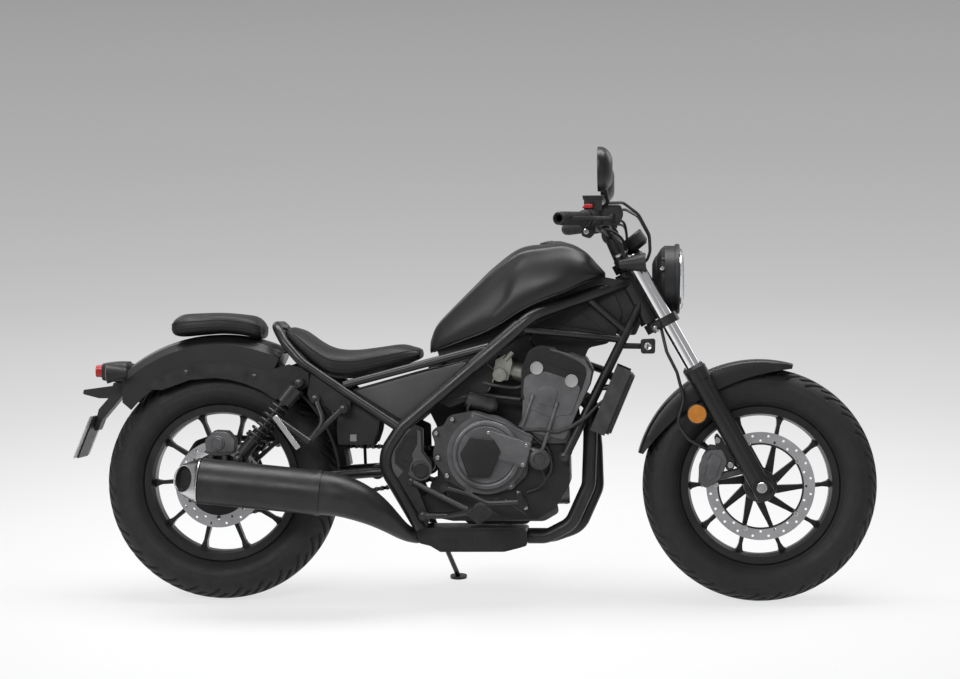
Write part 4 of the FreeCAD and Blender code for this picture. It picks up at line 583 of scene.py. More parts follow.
def pressed(name, outline, y_low, y_high, finish, body, slot, round_off=1.5, corner=6.0):
    """A cast or pressed plate: an (x, z) outline from the side, with rounded corners and rolled edges."""
    flat = softened(outline, corner)
    verts = [(x, y_low, z) for x, z in flat] + [(x, y_high, z) for x, z in flat]
    count = len(flat)
    faces = [tuple(range(count)), tuple(range(2 * count - 1, count - 1, -1))]
    faces += [(i, (i + 1) % count, count + (i + 1) % count, count + i) for i in range(count)]
    shape = bmesh.new()
    corners = [shape.verts.new(v) for v in verts]
    for face in faces:
        shape.faces.new([corners[i] for i in face])
    bmesh.ops.recalc_face_normals(shape, faces=shape.faces)
    rims = [edge for edge in shape.edges if abs(edge.verts[0].co.y - edge.verts[1].co.y) < 1e-6]
    bmesh.ops.bevel(shape, geom=rims, offset=min(round_off, abs(y_high - y_low) * 0.45), segments=3,
                    affect="EDGES", profile=0.6, clamp_overlap=True)
    bmesh.ops.triangulate(shape, faces=[face for face in shape.faces if len(face.verts) > 4])
    mesh = bpy.data.meshes.new(name)
    shape.to_mesh(mesh)
    shape.free()
    piece = bpy.data.objects.new(name, mesh)
    scene.collection.objects.link(piece)
    return settled(piece, finish, body, slot, MM, sharp=32)


def softened(outline, corner, steps=4):
    """An outline whose corners are turned into short arcs."""
    out = []
    count = len(outline)
    for i in range(count):
        before, here, after = (Vector(outline[(i + k) % count]) for k in (-1, 0, 1))
        into, away = (here - before), (after - here)
        reach = min(corner, into.length * 0.45, away.length * 0.45)
        start, end = here - into.normalized() * reach, here + away.normalized() * reach
        for k in range(steps + 1):
            t = k / steps
            out.append(tuple(start * (1 - t)**2 + here * 2 * t * (1 - t) + end * t**2))
    return out


def section(x, low, high, half, squareness=3.0, count=48):
    """One upright cross-section of a rounded body, widest at its middle height."""
    ring = []
    widest = low + 0.5 * (high - low)
    for i in range(count):
        angle = 2 * math.pi * i / count
        c, s = math.cos(angle), math.sin(angle)
        y = half * math.copysign(abs(c) ** (2 / squareness), c)
        reach = high - widest if s > 0 else widest - low
        ring.append((x, y, widest + math.copysign(abs(s) ** (2 / squareness), s) * reach))
    return ring


def skinned(rings):
    """A closed skin over rings of equal length, with fans on the end rings."""
    verts = [v for ring in rings for v in ring]
    count = len(rings[0])
    faces = grid_faces(len(rings), count)
    for ring_index in (0, len(rings) - 1):
        centre = np.mean(np.array(rings[ring_index]), axis=0)
        verts.append(tuple(centre))
        base, hub = ring_index * count, len(verts) - 1
        faces += [(base + i, base + (i + 1) % count, hub) for i in range(count)]
    return verts, faces


def smooth_stations(stations, count):
    """More stations between the given ones, along a smooth curve."""
    table = np.array(stations, float)
    steps = np.linspace(0, len(table) - 1, count)
    out = []
    for step in steps:
        i = min(int(step), len(table) - 2)
        t = step - i
        p = [table[max(0, i - 1)], table[i], table[i + 1], table[min(len(table) - 1, i + 2)]]
        out.append(0.5 * (2 * p[1] + (p[2] - p[0]) * t + (2 * p[0] - 5 * p[1] + 4 * p[2] - p[3]) * t**2
                          + (3 * p[1] - p[0] - 3 * p[2] + p[3]) * t**3))
    return out


# Repeats laid out by geometry nodes

def new_tree(name, inputs):
    """A geometry node tree with named inputs; returns the tree, its input node and the output node."""
    tree = bpy.data.node_groups.new(name, "GeometryNodeTree")
    tree.interface.new_socket("Geometry", in_out="INPUT", socket_type="NodeSocketGeometry")
    for label, kind in inputs:
        tree.interface.new_socket(label, in_out="INPUT", socket_type=kind)
    tree.interface.new_socket("Geometry", in_out="OUTPUT", socket_type="NodeSocketGeometry")
    return tree, tree.nodes.new("NodeGroupInput"), tree.nodes.new("NodeGroupOutput")


def ended(tree, given, out, instances):
    """Real geometry and its material, as every tree ends."""
    real = tree.nodes.new("GeometryNodeRealizeInstances")
    tree.links.new(instances, real.inputs["Geometry"])
    paint = tree.nodes.new("GeometryNodeSetMaterial")
    tree.links.new(real.outputs["Geometry"], paint.inputs["Geometry"])
    tree.links.new(given.outputs["Material"], paint.inputs["Material"])
    tree.links.new(paint.outputs["Geometry"], out.inputs["Geometry"])


def scatter_tree():
    """One copy of a piece on every point, standing along its facing, with its own size and turn."""
    tree, given, out = new_tree("scattered_pieces", (
        ("Piece", "NodeSocketObject"), ("Turn Seed", "NodeSocketInt"), ("Material", "NodeSocketMaterial")))
    nodes, link = tree.nodes, tree.links.new
    facing = nodes.new("GeometryNodeInputNamedAttribute")
    facing.data_type = "FLOAT_VECTOR"
    facing.inputs["Name"].default_value = "facing"
    size = nodes.new("GeometryNodeInputNamedAttribute")
    size.data_type = "FLOAT"
    size.inputs["Name"].default_value = "size"
    align = nodes.new("FunctionNodeAlignRotationToVector")
    align.axis = "Z"
    link(facing.outputs["Attribute"], align.inputs["Vector"])
    turn = nodes.new("FunctionNodeRandomValue")
    turn.data_type = "FLOAT"
    turn.inputs[3].default_value = 2 * math.pi
    link(given.outputs["Turn Seed"], turn.inputs["Seed"])
    about = nodes.new("ShaderNodeCombineXYZ")
    link(turn.outputs[1], about.inputs["Z"])
    euler = nodes.new("FunctionNodeEulerToRotation")
    link(about.outputs["Vector"], euler.inputs["Euler"])
    rotate = nodes.new("FunctionNodeRotateRotation")
    rotate.rotation_space = "LOCAL"
    link(align.outputs["Rotation"], rotate.inputs["Rotation"])
    link(euler.outputs["Rotation"], rotate.inputs["Rotate By"])
    shape = nodes.new("GeometryNodeObjectInfo")
    link(given.outputs["Piece"], shape.inputs["Object"])
    place = nodes.new("GeometryNodeInstanceOnPoints")
    link(given.outputs["Geometry"], place.inputs["Points"])
    link(shape.outputs["Geometry"], place.inputs["Instance"])
    link(rotate.outputs["Rotation"], place.inputs["Rotation"])
    link(size.outputs["Attribute"], place.inputs["Scale"])
    ended(tree, given, out, place.outputs["Instances"])
    return tree


def strung_tree():
    """Copies of a piece at even steps along a path: its X along the path, its Z towards Up."""
    tree, given, out = new_tree("strung_pieces", (
        ("Piece", "NodeSocketObject"), ("Count", "NodeSocketInt"), ("Every", "NodeSocketInt"),
        ("Phase", "NodeSocketInt"), ("Up", "NodeSocketVector"), ("Material", "NodeSocketMaterial")))
    nodes, link = tree.nodes, tree.links.new
    curve = nodes.new("GeometryNodeMeshToCurve")
    link(given.outputs["Geometry"], curve.inputs["Mesh"])
    steps = nodes.new("GeometryNodeResampleCurve")
    link(curve.outputs["Curve"], steps.inputs["Curve"])
    link(given.outputs["Count"], steps.inputs["Count"])
    tangent = nodes.new("GeometryNodeInputTangent")
    along = nodes.new("FunctionNodeAlignRotationToVector")
    along.axis = "X"
    link(tangent.outputs["Tangent"], along.inputs["Vector"])
    up = nodes.new("FunctionNodeAlignRotationToVector")
    up.axis = "Z"
    up.pivot_axis = "X"
    link(along.outputs["Rotation"], up.inputs["Rotation"])
    link(given.outputs["Up"], up.inputs["Vector"])
    index = nodes.new("GeometryNodeInputIndex")
    rest = nodes.new("ShaderNodeMath")
    rest.operation = "MODULO"
    link(index.outputs["Index"], rest.inputs[0])
    link(given.outputs["Every"], rest.inputs[1])
    chosen = nodes.new("FunctionNodeCompare")
    chosen.data_type = "FLOAT"
    chosen.operation = "EQUAL"
    chosen.inputs["Epsilon"].default_value = 0.1
    link(rest.outputs[0], chosen.inputs["A"])
    link(given.outputs["Phase"], chosen.inputs["B"])
    shape = nodes.new("GeometryNodeObjectInfo")
    link(given.outputs["Piece"], shape.inputs["Object"])
    place = nodes.new("GeometryNodeInstanceOnPoints")
    link(steps.outputs["Curve"], place.inputs["Points"])
    link(chosen.outputs["Result"], place.inputs["Selection"])
    link(shape.outputs["Geometry"], place.inputs["Instance"])
    link(up.outputs["Rotation"], place.inputs["Rotation"])
    ended(tree, given, out, place.outputs["Instances"])
    return tree


SCATTER = scatter_tree()
STRUNG = strung_tree()


def grown(name, carrier, tree, values, finish, body, slot):
    """Runs a tree on a carrier mesh (millimetres, upright) and keeps the result as a plain piece."""
    piece = bpy.data.objects.new(name, carrier)
    scene.collection.objects.link(piece)
    nodes = piece.modifiers.new("layout", "NODES")
    nodes.node_group = tree
    sockets = {item.name: item.identifier for item in tree.interface.items_tree if item.in_out == "INPUT"}
    for label, value in dict(values, Material=finish.material).items():
        nodes[sockets[label]] = value
    applied(piece)
    return settled(piece, finish, body, slot, MM)


TURN_SEED = 3


def scattered(name, shape, spots, finish, body, slot):
    """Copies of a shape at spots of (place, facing, size)."""
    carrier = bpy.data.meshes.new(name + "_spots")
    carrier.from_pydata([tuple(spot[0]) for spot in spots], [], [])
    carrier.attributes.new("facing", "FLOAT_VECTOR", "POINT")
    carrier.attributes.new("size", "FLOAT", "POINT")
    for i, (_, towards, scale) in enumerate(spots):
        carrier.attributes["facing"].data[i].vector = Vector(towards).normalized()
        carrier.attributes["size"].data[i].value = scale
    return grown(name, carrier, SCATTER, {"Piece": shape, "Turn Seed": TURN_SEED}, finish, body, slot)


def strung(name, shape, path, count, finish, body, slot, up=(0, 0, 1), closed=False, every=1, phase=0):
    """Copies of a shape along a path."""
    carrier = bpy.data.meshes.new(name + "_path")
    last = len(path) if closed else len(path) - 1
    carrier.from_pydata([tuple(p) for p in path], [(i, (i + 1) % len(path)) for i in range(last)], [])
    values = {"Piece": shape, "Count": count, "Every": every, "Phase": phase, "Up": Vector(up)}
    return grown(name, carrier, STRUNG, values, finish, body, slot)


patterns = []


def pattern_object(name, mesh):
    """A shape for the trees to copy, kept until the machine is complete."""
    pattern = bpy.data.objects.new(name, mesh)
    scene.collection.objects.link(pattern)
    patterns.append(pattern)
    return pattern


def pattern_shape(name, rings, steps=12):
    """A small turned shape about Z for the trees to copy; its (radius, height) rings may have flats."""
    shape = bmesh.new()
    rows = []
    for radius, height, *flats in rings:
        if radius <= 0:
            rows.append([shape.verts.new((0, 0, height))] * steps)
            continue
        reach = [radius * (math.cos(math.pi / flats[0]) if flats and i % 2 else 1.0) for i in range(steps)]
        rows.append([shape.verts.new((reach[i] * math.cos(2 * math.pi * i / steps),
                                      reach[i] * math.sin(2 * math.pi * i / steps),
                                      height)) for i in range(steps)])
    for low, high in zip(rows, rows[1:]):
        for i in range(steps):
            corners = [low[i], low[(i + 1) % steps], high[(i + 1) % steps], high[i]]
            unique = list(dict.fromkeys(corners))
            if len(unique) > 2:
                shape.faces.new(unique)
    bmesh.ops.recalc_face_normals(shape, faces=shape.faces)
    mesh = bpy.data.meshes.new(name)
    shape.to_mesh(mesh)
    shape.free()
    return pattern_object(name, mesh)


def put_away_patterns():
    """The shapes that the trees copied aren't part of the machine."""
    for pattern in patterns:
        bpy.data.objects.remove(pattern, do_unlink=True)


# Tyres

TYRE_CROWN = 0.082
TYRE_SEGMENTS = 648
GROOVE_DEPTH = 0.0062
SIDEWALL_LINES = ((0.262, 0.0012), (0.268, 0.0012), (0.283, 0.0016), (0.234, 0.0018), (0.226, 0.0022))


def tyre_profile(radius, width, rim_width):
    """Outer and inner half-section as (y, r, share of tread), like the CAD tyre."""
    half, wall = width / 2, 0.009
    shoulder_y = half * 0.80
    shoulder_r = radius - (TYRE_CROWN - math.sqrt(TYRE_CROWN**2 - shoulder_y**2))
    flange_r = 0.217
    bulge_r = flange_r + (shoulder_r - flange_r) * 0.56
    bead_y, bead_r = rim_width / 2 - 0.0083, 0.2033

    def arc_through(a, b, c, steps):
        (ax, ay), (bx, by), (cx, cy) = a, b, c
        d = 2 * (ax * (by - cy) + bx * (cy - ay) + cx * (ay - by))
        ux = ((ax**2 + ay**2) * (by - cy) + (bx**2 + by**2) * (cy - ay) + (cx**2 + cy**2) * (ay - by)) / d
        uy = ((ax**2 + ay**2) * (cx - bx) + (bx**2 + by**2) * (ax - cx) + (cx**2 + cy**2) * (bx - ax)) / d
        start, mid, end = (math.atan2(q[1] - uy, q[0] - ux) for q in (a, b, c))
        r = math.hypot(ax - ux, ay - uy)
        while mid > start:
            mid -= 2 * math.pi
        while end > mid:
            end -= 2 * math.pi
        return [(ux + r * math.cos(start + (end - start) * i / steps),
                 uy + r * math.sin(start + (end - start) * i / steps)) for i in range(steps + 1)]

    tread = arc_through((-shoulder_y, shoulder_r), (0, radius), (shoulder_y, shoulder_r), 64)
    left = arc_through((shoulder_y, shoulder_r), (half, bulge_r), (bead_y, flange_r), 22)
    right = [(-y, r) for y, r in reversed(left)]
    inside = [
        (bead_y, bead_r), (bead_y - wall, bead_r), (half - wall, bulge_r),
        (shoulder_y - wall, shoulder_r - wall * 1.3), (0, radius - wall * 1.6),
        (-shoulder_y + wall, shoulder_r - wall * 1.3), (-half + wall, bulge_r), (-bead_y + wall, bead_r),
        (-bead_y, bead_r),
    ]
    outside = right[:-1] + tread + left[1:]
    return outside, inside, shoulder_y


def groove_depth(angle, y, half, pitches, hook):
    """Share of the full groove depth: long grooves from the middle and short ones at the shoulder."""
    depth = np.zeros_like(angle)
    reach = np.abs(y) / half
    pitch = 2 * math.pi / pitches
    side = np.where(y > 0, 0.5, 0.0)
    for shift, start, end, width in ((0.0, 0.10, 0.88, 0.10), (0.46, 0.42, 1.10, 0.085)):
        bend = hook * reach**1.4 + shift
        phase = (angle / pitch + side - bend) % 1.0
        across = np.minimum(phase, 1 - phase)
        inside = np.clip((width - across) / 0.03, 0, 1)
        along = np.clip((reach - start) / 0.06, 0, 1) * np.clip((end - reach) / 0.06, 0, 1)
        depth = np.maximum(depth, inside * along)
    return depth


def tyre(name, axle, radius, width, rim_width, body):
    """A tyre like the CAD one, with its tread cut in and fine raised lines round its sidewalls."""
    segments = TYRE_SEGMENTS
    outside, inside, shoulder_y = tyre_profile(radius, width, rim_width)
    ring = outside + inside
    ys = np.array([p[0] for p in ring])
    rs = np.array([p[1] for p in ring])
    angles = np.arange(segments) * 2 * math.pi / segments
    a, y = np.meshgrid(angles, ys, indexing="ij")
    _, r = np.meshgrid(angles, rs, indexing="ij")
    worn = np.zeros_like(r)
    tread = np.zeros(len(ring), bool)
    outer_ys, outer_rs = ys[:len(outside)], rs[:len(outside)]
    tread[:len(outside)] = (np.abs(outer_ys) < shoulder_y * 1.12) & (outer_rs > radius - 0.045)
    worn[:, tread] = groove_depth(a[:, tread], y[:, tread], shoulder_y, 30, 0.9) * GROOVE_DEPTH
    sidewall = np.zeros(len(ring), bool)
    sidewall[:len(outside)] = outer_rs < radius - 0.035
    lines = np.zeros(len(ring))
    for at, depth in SIDEWALL_LINES:
        lines += np.where(sidewall, np.exp(-((rs - at) / 0.0016)**2) * depth, 0)
    sign = np.sign(y)
    r = r - worn
    y = y - sign * (lines[None, :] + worn * 0.35)
    x = axle[0] + r * np.cos(a)
    z = axle[2] + r * np.sin(a)
    verts = np.stack([x, y, z], axis=-1).reshape(-1, 3)
    faces = grid_faces(segments, len(ring), True, True)
    piece = made(name + "_rubber", verts, faces, tyre_rubber, body, "tyre_rubber")
    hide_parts(name)


# Seats

def applied(piece):
    """The piece's modifiers turned into plain mesh."""
    graph = bpy.context.evaluated_depsgraph_get()
    fresh = bpy.data.meshes.new_from_object(piece.evaluated_get(graph))
    piece.modifiers.clear()
    old = piece.data
    piece.data = fresh
    bpy.data.meshes.remove(old)
    return piece


FOAM_PRESSURE = 4.0
FOAM_VOXEL = 0.0055


def puffed(piece, cap):
    """Blows a soft piece up like foam under a tight cover. The underside, which rests on its pan, stays."""
    remesh = piece.modifiers.new("remesh", "REMESH")
    remesh.mode = "VOXEL"
    remesh.voxel_size = FOAM_VOXEL
    applied(piece)
    start = np.array([v.co for v in piece.data.vertices])
    normals = np.array([v.normal for v in piece.data.vertices])
    cloth = piece.modifiers.new("cloth", "CLOTH")
    cloth.settings.quality = 6
    cloth.settings.use_pressure = True
    cloth.settings.uniform_pressure_force = FOAM_PRESSURE
    cloth.settings.effector_weights.gravity = 0
    for step in range(1, 21):
        scene.frame_set(step)
    graph = bpy.context.evaluated_depsgraph_get()
    grown = piece.evaluated_get(graph).to_mesh()
    end = np.array([v.co for v in grown.vertices])
    piece.modifiers.clear()
    scene.frame_set(1)
    shift = end - start
    size = np.linalg.norm(shift, axis=1, keepdims=True)
    shift *= np.minimum(1.0, cap / np.maximum(size, 1e-9))
    shift *= np.clip((normals[:, 2:3] + 0.75) / 0.6, 0.0, 1.0)
    for vertex, place in zip(piece.data.vertices, start + shift):
        vertex.co = place
    smooth = piece.modifiers.new("smooth", "SMOOTH")
    smooth.iterations = 6
    finer = piece.modifiers.new("finer", "SUBSURF")
    finer.levels = finer.render_levels = 1
    return applied(piece)


# Stations of the seats: forward place, underside, top and half width, in millimetres
RIDER_SEAT = ((186, 726, 753, 80), (198, 712, 762, 96), (228, 680, 748, 112), (268, 648, 716, 122),
              (312, 620, 695, 124), (368, 616, 690, 116), (440, 632, 698, 102), (500, 649, 707, 90),
              (540, 664, 706, 80), (556, 672, 700, 70), )
PASSENGER_SEAT = (
    (-138, 744, 771, 72), (-130, 735, 783, 84), (-108, 732, 791, 94), (-60, 736, 794, 99), (0, 740, 795, 100),
    (60, 736, 790, 97), (98, 727, 784, 91), (112, 725, 776, 80), (117, 730, 768, 70),
)


def seat(name, stations, cap, node):
    """A padded seat on its pan, with a welt, a lower welt and a row of stitches on each side."""
    stations = [[v / 1000 for v in row] for row in stations]
    rings = [section(x, low, high, half) for x, low, high, half in smooth_stations(stations, 60)]
    verts, faces = skinned(rings)
    mesh = bpy.data.meshes.new(name)
    mesh.from_pydata(verts, [], faces)
    piece = bpy.data.objects.new(name, mesh)
    scene.collection.objects.link(piece)
    puffed(piece, cap)
    settled(piece, *SEAT_COVER)
    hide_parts(node)
    stitch = pattern_shape(name + "_stitch", [(0, -2.5), (0.7, -1.9), (0.8, 0), (0.7, 1.9), (0, 2.5)], 6)
    stitch.data.transform(Matrix.Rotation(math.radians(90), 4, "Y"))
    for side, word in SIDES:
        for label, outside, rise, aim in (("_welt", 60, 40, 0.45), ("_lower_welt", 70, 0, 0.40)):
            rays = []
            for x, low, high, half in smooth_stations(stations, 40)[2:-2]:
                x, low, high, half = x * 1000, low * 1000, high * 1000, half * 1000
                middle = low + (high - low) * aim
                rays.append(((x, side * (half + outside), middle + rise), (x, side * half * 0.55, middle)))
            line = surface_line(piece, rays)
            swept(name + label + "_" + word, line, 1.5 if rise else 1.2, *SEAT_COVER, 8, 160)
            if rise:
                around = sum(math.dist(a, b) for a, b in zip(line, line[1:]))
                strung(name + "_stitches_" + word, stitch, [(x, y - side * 5, z + 1.8) for x, y, z in line],
                       int(around / 7.5), thread_grey, "chassis", "seat_cover")


def surface_line(piece, rays):
    """Where rays from outside, in upright millimetres, meet a finished piece."""
    surface = BVHTree.FromObject(piece, bpy.context.evaluated_depsgraph_get())
    line = []
    for start, aim in rays:
        start, aim = parked @ (Vector(start) * 0.001), parked @ (Vector(aim) * 0.001)
        hit = surface.ray_cast(start, (aim - start).normalized())
        if hit[0] is not None:
            line.append(tuple((upright @ hit[0]) * 1000))
    return line


# Fasteners

def polar(x, z, degrees, radius, y):
    """A place round an axle, from forward and up."""
    angle = math.radians(degrees)
    return (x + radius * math.cos(angle), y, z + radius * math.sin(angle))


SPOKE_ROOT_R, SPOKE_TIP_R = 32.3, 195.0


def spoke_angle(rim_deg, slant, radius):
    """Where a slanted spoke of the wheel crosses a radius, as degrees round the axle."""
    root_angle, tip_angle = math.radians(rim_deg - slant), math.radians(rim_deg)
    root = np.array([math.cos(root_angle), math.sin(root_angle)]) * SPOKE_ROOT_R
    tip = np.array([math.cos(tip_angle), math.sin(tip_angle)]) * SPOKE_TIP_R
    for t in np.linspace(0, 1, 400):
        place = root + (tip - root) * t
        if np.hypot(*place) >= radius:
            return math.degrees(math.atan2(place[1], place[0]))
    return rim_deg


def fasteners():
    """Screws, nuts and rivets, laid out by the scatter tree on each moving body."""
    socket = pattern_shape("socket_screw", [(0, 0.42), (0.50, 0.42, 6), (0.56, 0.98, 6), (0.82, 1.0),
                                            (1.0, 0.82), (1.0, -0.1)])
    flanged = pattern_shape("flanged_bolt", [(0, 0.95), (0.52, 0.95, 6), (0.68, 0.80, 6), (0.70, 0.28, 6),
                                             (0.98, 0.20), (1.0, -0.1)])
    rivet = pattern_shape("rivet", [(0, 0.42), (0.38, 0.42), (0.46, 0.55), (0.86, 0.50), (1.0, 0.3),
                                    (1.0, -0.1)])
    silver = [((x, -121.8, z), RIGHT, 6.2) for x, z in
              ((648, 506), (709, 516), (604, 468), (608, 401), (634, 352))]
    silver += [((x, -113.6, z), RIGHT, 5.6) for x, z in ((818, 353), (807, 326), (796, 281))]
    silver += [((852, -145.6, 436), RIGHT, 4.6), ((749, -145.6, 470), RIGHT, 4.6),
               ((842, -145.6, 383), RIGHT, 4.6)]
    scattered("case_screws", socket, silver, *CHASSIS_BOLT)
    dark = [((956, -136.8, 405), RIGHT, 11), ((956, 136.8, 405), LEFT, 11)]
    dark += [((x, side * 151.8, z), (0, side, 0), r) for side in (-1, 1)
             for x, z, r in ((538, 338, 8), (571, 244, 10))]
    for y, size, places in ((145.8, 9, ((274, 563), (351, 536))), (152.8, 9.5, ((230, 607), (62, 398))),
                            (102.4, 7.5, ((-89, 634), (101, 623)))):
        dark += [((x, side * y, z), (0, side, 0), size) for side in (-1, 1) for x, z in places]
    dark += [((x, 149.8, z), LEFT, 6) for x, z in ((800, 410), (884, 410), (800, 334), (884, 334))]
    dark += [((560, side * 112, 650), (0, side, 0.3), 5) for side in (-1, 1)]
    scattered("frame_bolts", flanged, dark, frame_bolt, "chassis", "bolt_steel")
    front = (WHEELBASE, FRONT_AXLE_Z)
    hub = [(polar(*front, 37 + 72 * i, 27, side * 52.0), (0, side, 0), 4.6)
           for i in range(5) for side in (-1, 1)]
    scattered("hub_screws", socket, hub, frame_bolt, "front_wheel", "bolt_steel")
    disc_r = 122
    disc = [(polar(*front, spoke_angle(109 + 72 * i, 28, disc_r), disc_r, -71.4), RIGHT, 8.5)
            for i in range(5)]
    scattered("front_disc_rivets", rivet, disc, bolt_steel, "front_wheel", "bolt_steel")
    disc = [(polar(0, REAR_AXLE_Z, 30 + 60 * i, 91, -97.4), RIGHT, 5) for i in range(6)]
    scattered("rear_disc_screws", socket, disc, frame_bolt, "rear_wheel", "bolt_steel")
    nuts = [(polar(0, REAR_AXLE_Z, 60 * i, 56, 98.9), LEFT, 7) for i in range(6)]
    scattered("sprocket_nuts", flanged, nuts, bolt_steel, "rear_wheel", "bolt_steel")
    fork_spots = [((1350, -99.8, 421), RIGHT, 5.5), ((1372, -99.8, 350), RIGHT, 5.5)]
    for side in (-1, 1):
        fork_spots += [((1222, side * 88, 934), (0.88, 0, 0.47), 0.1)]
        fork_spots += [((1204, side * 88, 746), (-0.88, 0, -0.47), 5)]
        fork_spots += [((1226, side * 86, 940), (0, side, 0), 5.5)]
    scattered("fork_screws", socket, fork_spots, frame_bolt, "fork", "bolt_steel")
    caliper = [((1372, -103.5, 449), RIGHT, 8.5), ((1407, -103.5, 382), RIGHT, 8.5),
               ((1206, -76, 752), RIGHT, 9)]
    scattered("caliper_screws", socket, caliper, *FORK_BOLT)


# Brakes, hub, fender and lock

REAR_CALIPER = 122.0


def front_caliper_trim():
    """Cast faces, ribs and carrier of the front caliper, with its hose end."""
    pressed("caliper_face", [(1321, 381), (1333, 408), (1347, 421), (1384, 425), (1399, 392), (1378, 343),
                             (1339, 318), (1320, 338)], -107, -98.5, *CALIPER_CASTING, 3.0, 8)
    pressed("caliper_bridge", [(1346, 398), (1362, 412), (1384, 398), (1368, 352), (1350, 338),
                               (1338, 352)], -112, -106, *CALIPER_CASTING, 2.4, 7)
    pressed("caliper_carrier", [(1362, 462), (1380, 460), (1400, 425), (1420, 392), (1416, 370),
                                (1396, 366), (1386, 398), (1366, 436)], -103.5, -95, *FORK_FRAME, 2, 7)
    for k in range(3):
        pressed("caliper_rib_%d" % k, [(1323 + 7 * k, 356 + 24 * k), (1331 + 7 * k, 372 + 24 * k),
                                       (1341 + 7 * k, 368 + 24 * k), (1333 + 7 * k, 352 + 24 * k)], -111,
                -105, *CALIPER_CASTING, 1.2, 3)
    lathe("bleed_nipple", [(-3, 5), (2, 5), (3, 3.6), (10, 3.2), (11, 2)], (1334, -96, 330),
          (-0.4, -0.5, -0.6), *FORK_BOLT, 16)
    lathe("caliper_hose_end", [(-6, 7.5), (0, 7.5), (2, 6), (10, 5), (16, 4)], (1376, -98, 452),
          (-0.5, 0, 0.85), *FORK_TRIM, 24)


def hub_trim():
    """Flanges of the front hub, and the ring inside its disc."""
    for y, name in ((-60, "front"), (52, "far")):
        lathe("hub_flange_" + name, [(-6, 29), (-6, 44), (-1, 46), (4, 45), (7, 40), (8, 29)],
              (WHEELBASE, y, FRONT_AXLE_Z), RIGHT, wheel_black, "front_wheel", "wheel_black", 64)
    lathe("disc_edge_ring", [(-1.6, 113.2), (-1.6, 118), (1.9, 118), (1.9, 113.2)],
          (WHEELBASE, -71.5, FRONT_AXLE_Z), RIGHT, wheel_black, "front_wheel", "wheel_black", 96)


def rear_caliper_trim():
    """Piston cover and face of the rear caliper."""
    lathe("rear_caliper_piston", [(-4, 21), (3, 21), (5, 19.5), (6, 17), (5, 15), (7, 13), (7, 0)],
          (2, -REAR_CALIPER, 440), RIGHT, *SATIN_CASTING, 40)
    pressed("rear_caliper_face", [(-30, 416), (-33, 448), (-8, 472), (28, 470), (50, 448), (46, 416)],
            -REAR_CALIPER - 3, -REAR_CALIPER + 2, *SATIN_CASTING, 2.0, 7)


def lock_trim():
    """Body, face and slot of the lock on the frame's neck."""
    pressed("lock_body", [(1164, 684), (1163, 724), (1204, 726), (1203, 684)], -60, -30, *CHASSIS_TRIM,
            3.0, 8)
    lathe("lock_face", [(-1, 10.5), (1.2, 10.5), (2, 9.6), (1.4, 8.6), (1.4, 0)], (1183, -60, 704), RIGHT,
          *CHASSIS_BOLT, 36)
    # The keyhole is a near-black sheet: painted shade.
    pressed("lock_slot", [(1181.6, 698), (1181.6, 710), (1184.4, 710), (1184.4, 698)], -62.2, -61,
            soot_and_shade_black, "chassis", "trim_black", 0.1, 0.4)


def peg_guards():
    """Bright heel guards on the passenger's peg brackets."""
    for side, word in SIDES:
        low, high = sorted((side * 198.5, side * 205))
        pressed("peg_guard_" + word, [(165, 514), (177, 522), (243, 434), (230, 425)], low, high,
                cap_silver, "chassis", "bolt_steel", 2, 4)


def front_fender():
    """Pressed fender: a crowned strip whose sides run out to a point at both ends."""
    rear, front, count = -75.0, 15.2, 90
    rings = []
    for i in range(count + 1):
        degrees = rear + (front - rear) * i / count
        share = abs(2 * i / count - 1)
        wall = 4 + 44 * (1 - share**2.2)
        narrow = 1 - 0.26 * max(0, (share - 0.80) / 0.20)**2
        angle = math.radians(degrees)
        ring = []
        for inset, sense in ((0.0, 1), (2.4, -1)):
            section_points = [(-75.5, 345.5 - 10 - wall), (-75.5, 345.5 - 10 - wall * 0.5), (-75.2, 335),
                              (-73, 340), (-68, 343.4), (-56, 344.8), (-28, 345.6), (0, 345.9), (28, 345.6),
                              (56, 344.8), (68, 343.4), (73, 340), (75.2, 335),
                              (75.5, 345.5 - 10 - wall * 0.5), (75.5, 345.5 - 10 - wall)][::sense]
            for y, r in section_points:
                y -= math.copysign(min(abs(y), inset), y)
                depth = r - (inset if abs(y) < 70 else 0)
                ring.append((WHEELBASE + depth * math.sin(angle), y * narrow,
                             FRONT_AXLE_Z + depth * math.cos(angle)))
        rings.append(ring)
    verts, faces = skinned(rings)
    piece = made("front_fender_shell", verts, faces, body_black, "fork", "body_black", MM)
    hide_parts("front_fender")
    for side in (-1, 1):
        for ahead in (0, 34):
            lug = [(0, 9), (0, 11), (2, 11.5), (4, 9.5), (14, 9), (14, 0)]
            lathe("fender_lug_%d_%d" % (side + 1, ahead), lug, (1334 + ahead, side * 74, 600 - ahead * 1.6),
                  (0, side, 0), *FORK_FRAME, 28)


# Chain

CHAIN_PITCH = 15.875
CHAIN_Y = 95.0
REAR_TEETH, FRONT_TEETH = 40, 15
FRONT_SPROCKET_X, FRONT_SPROCKET_Z = 640.0, 378.0


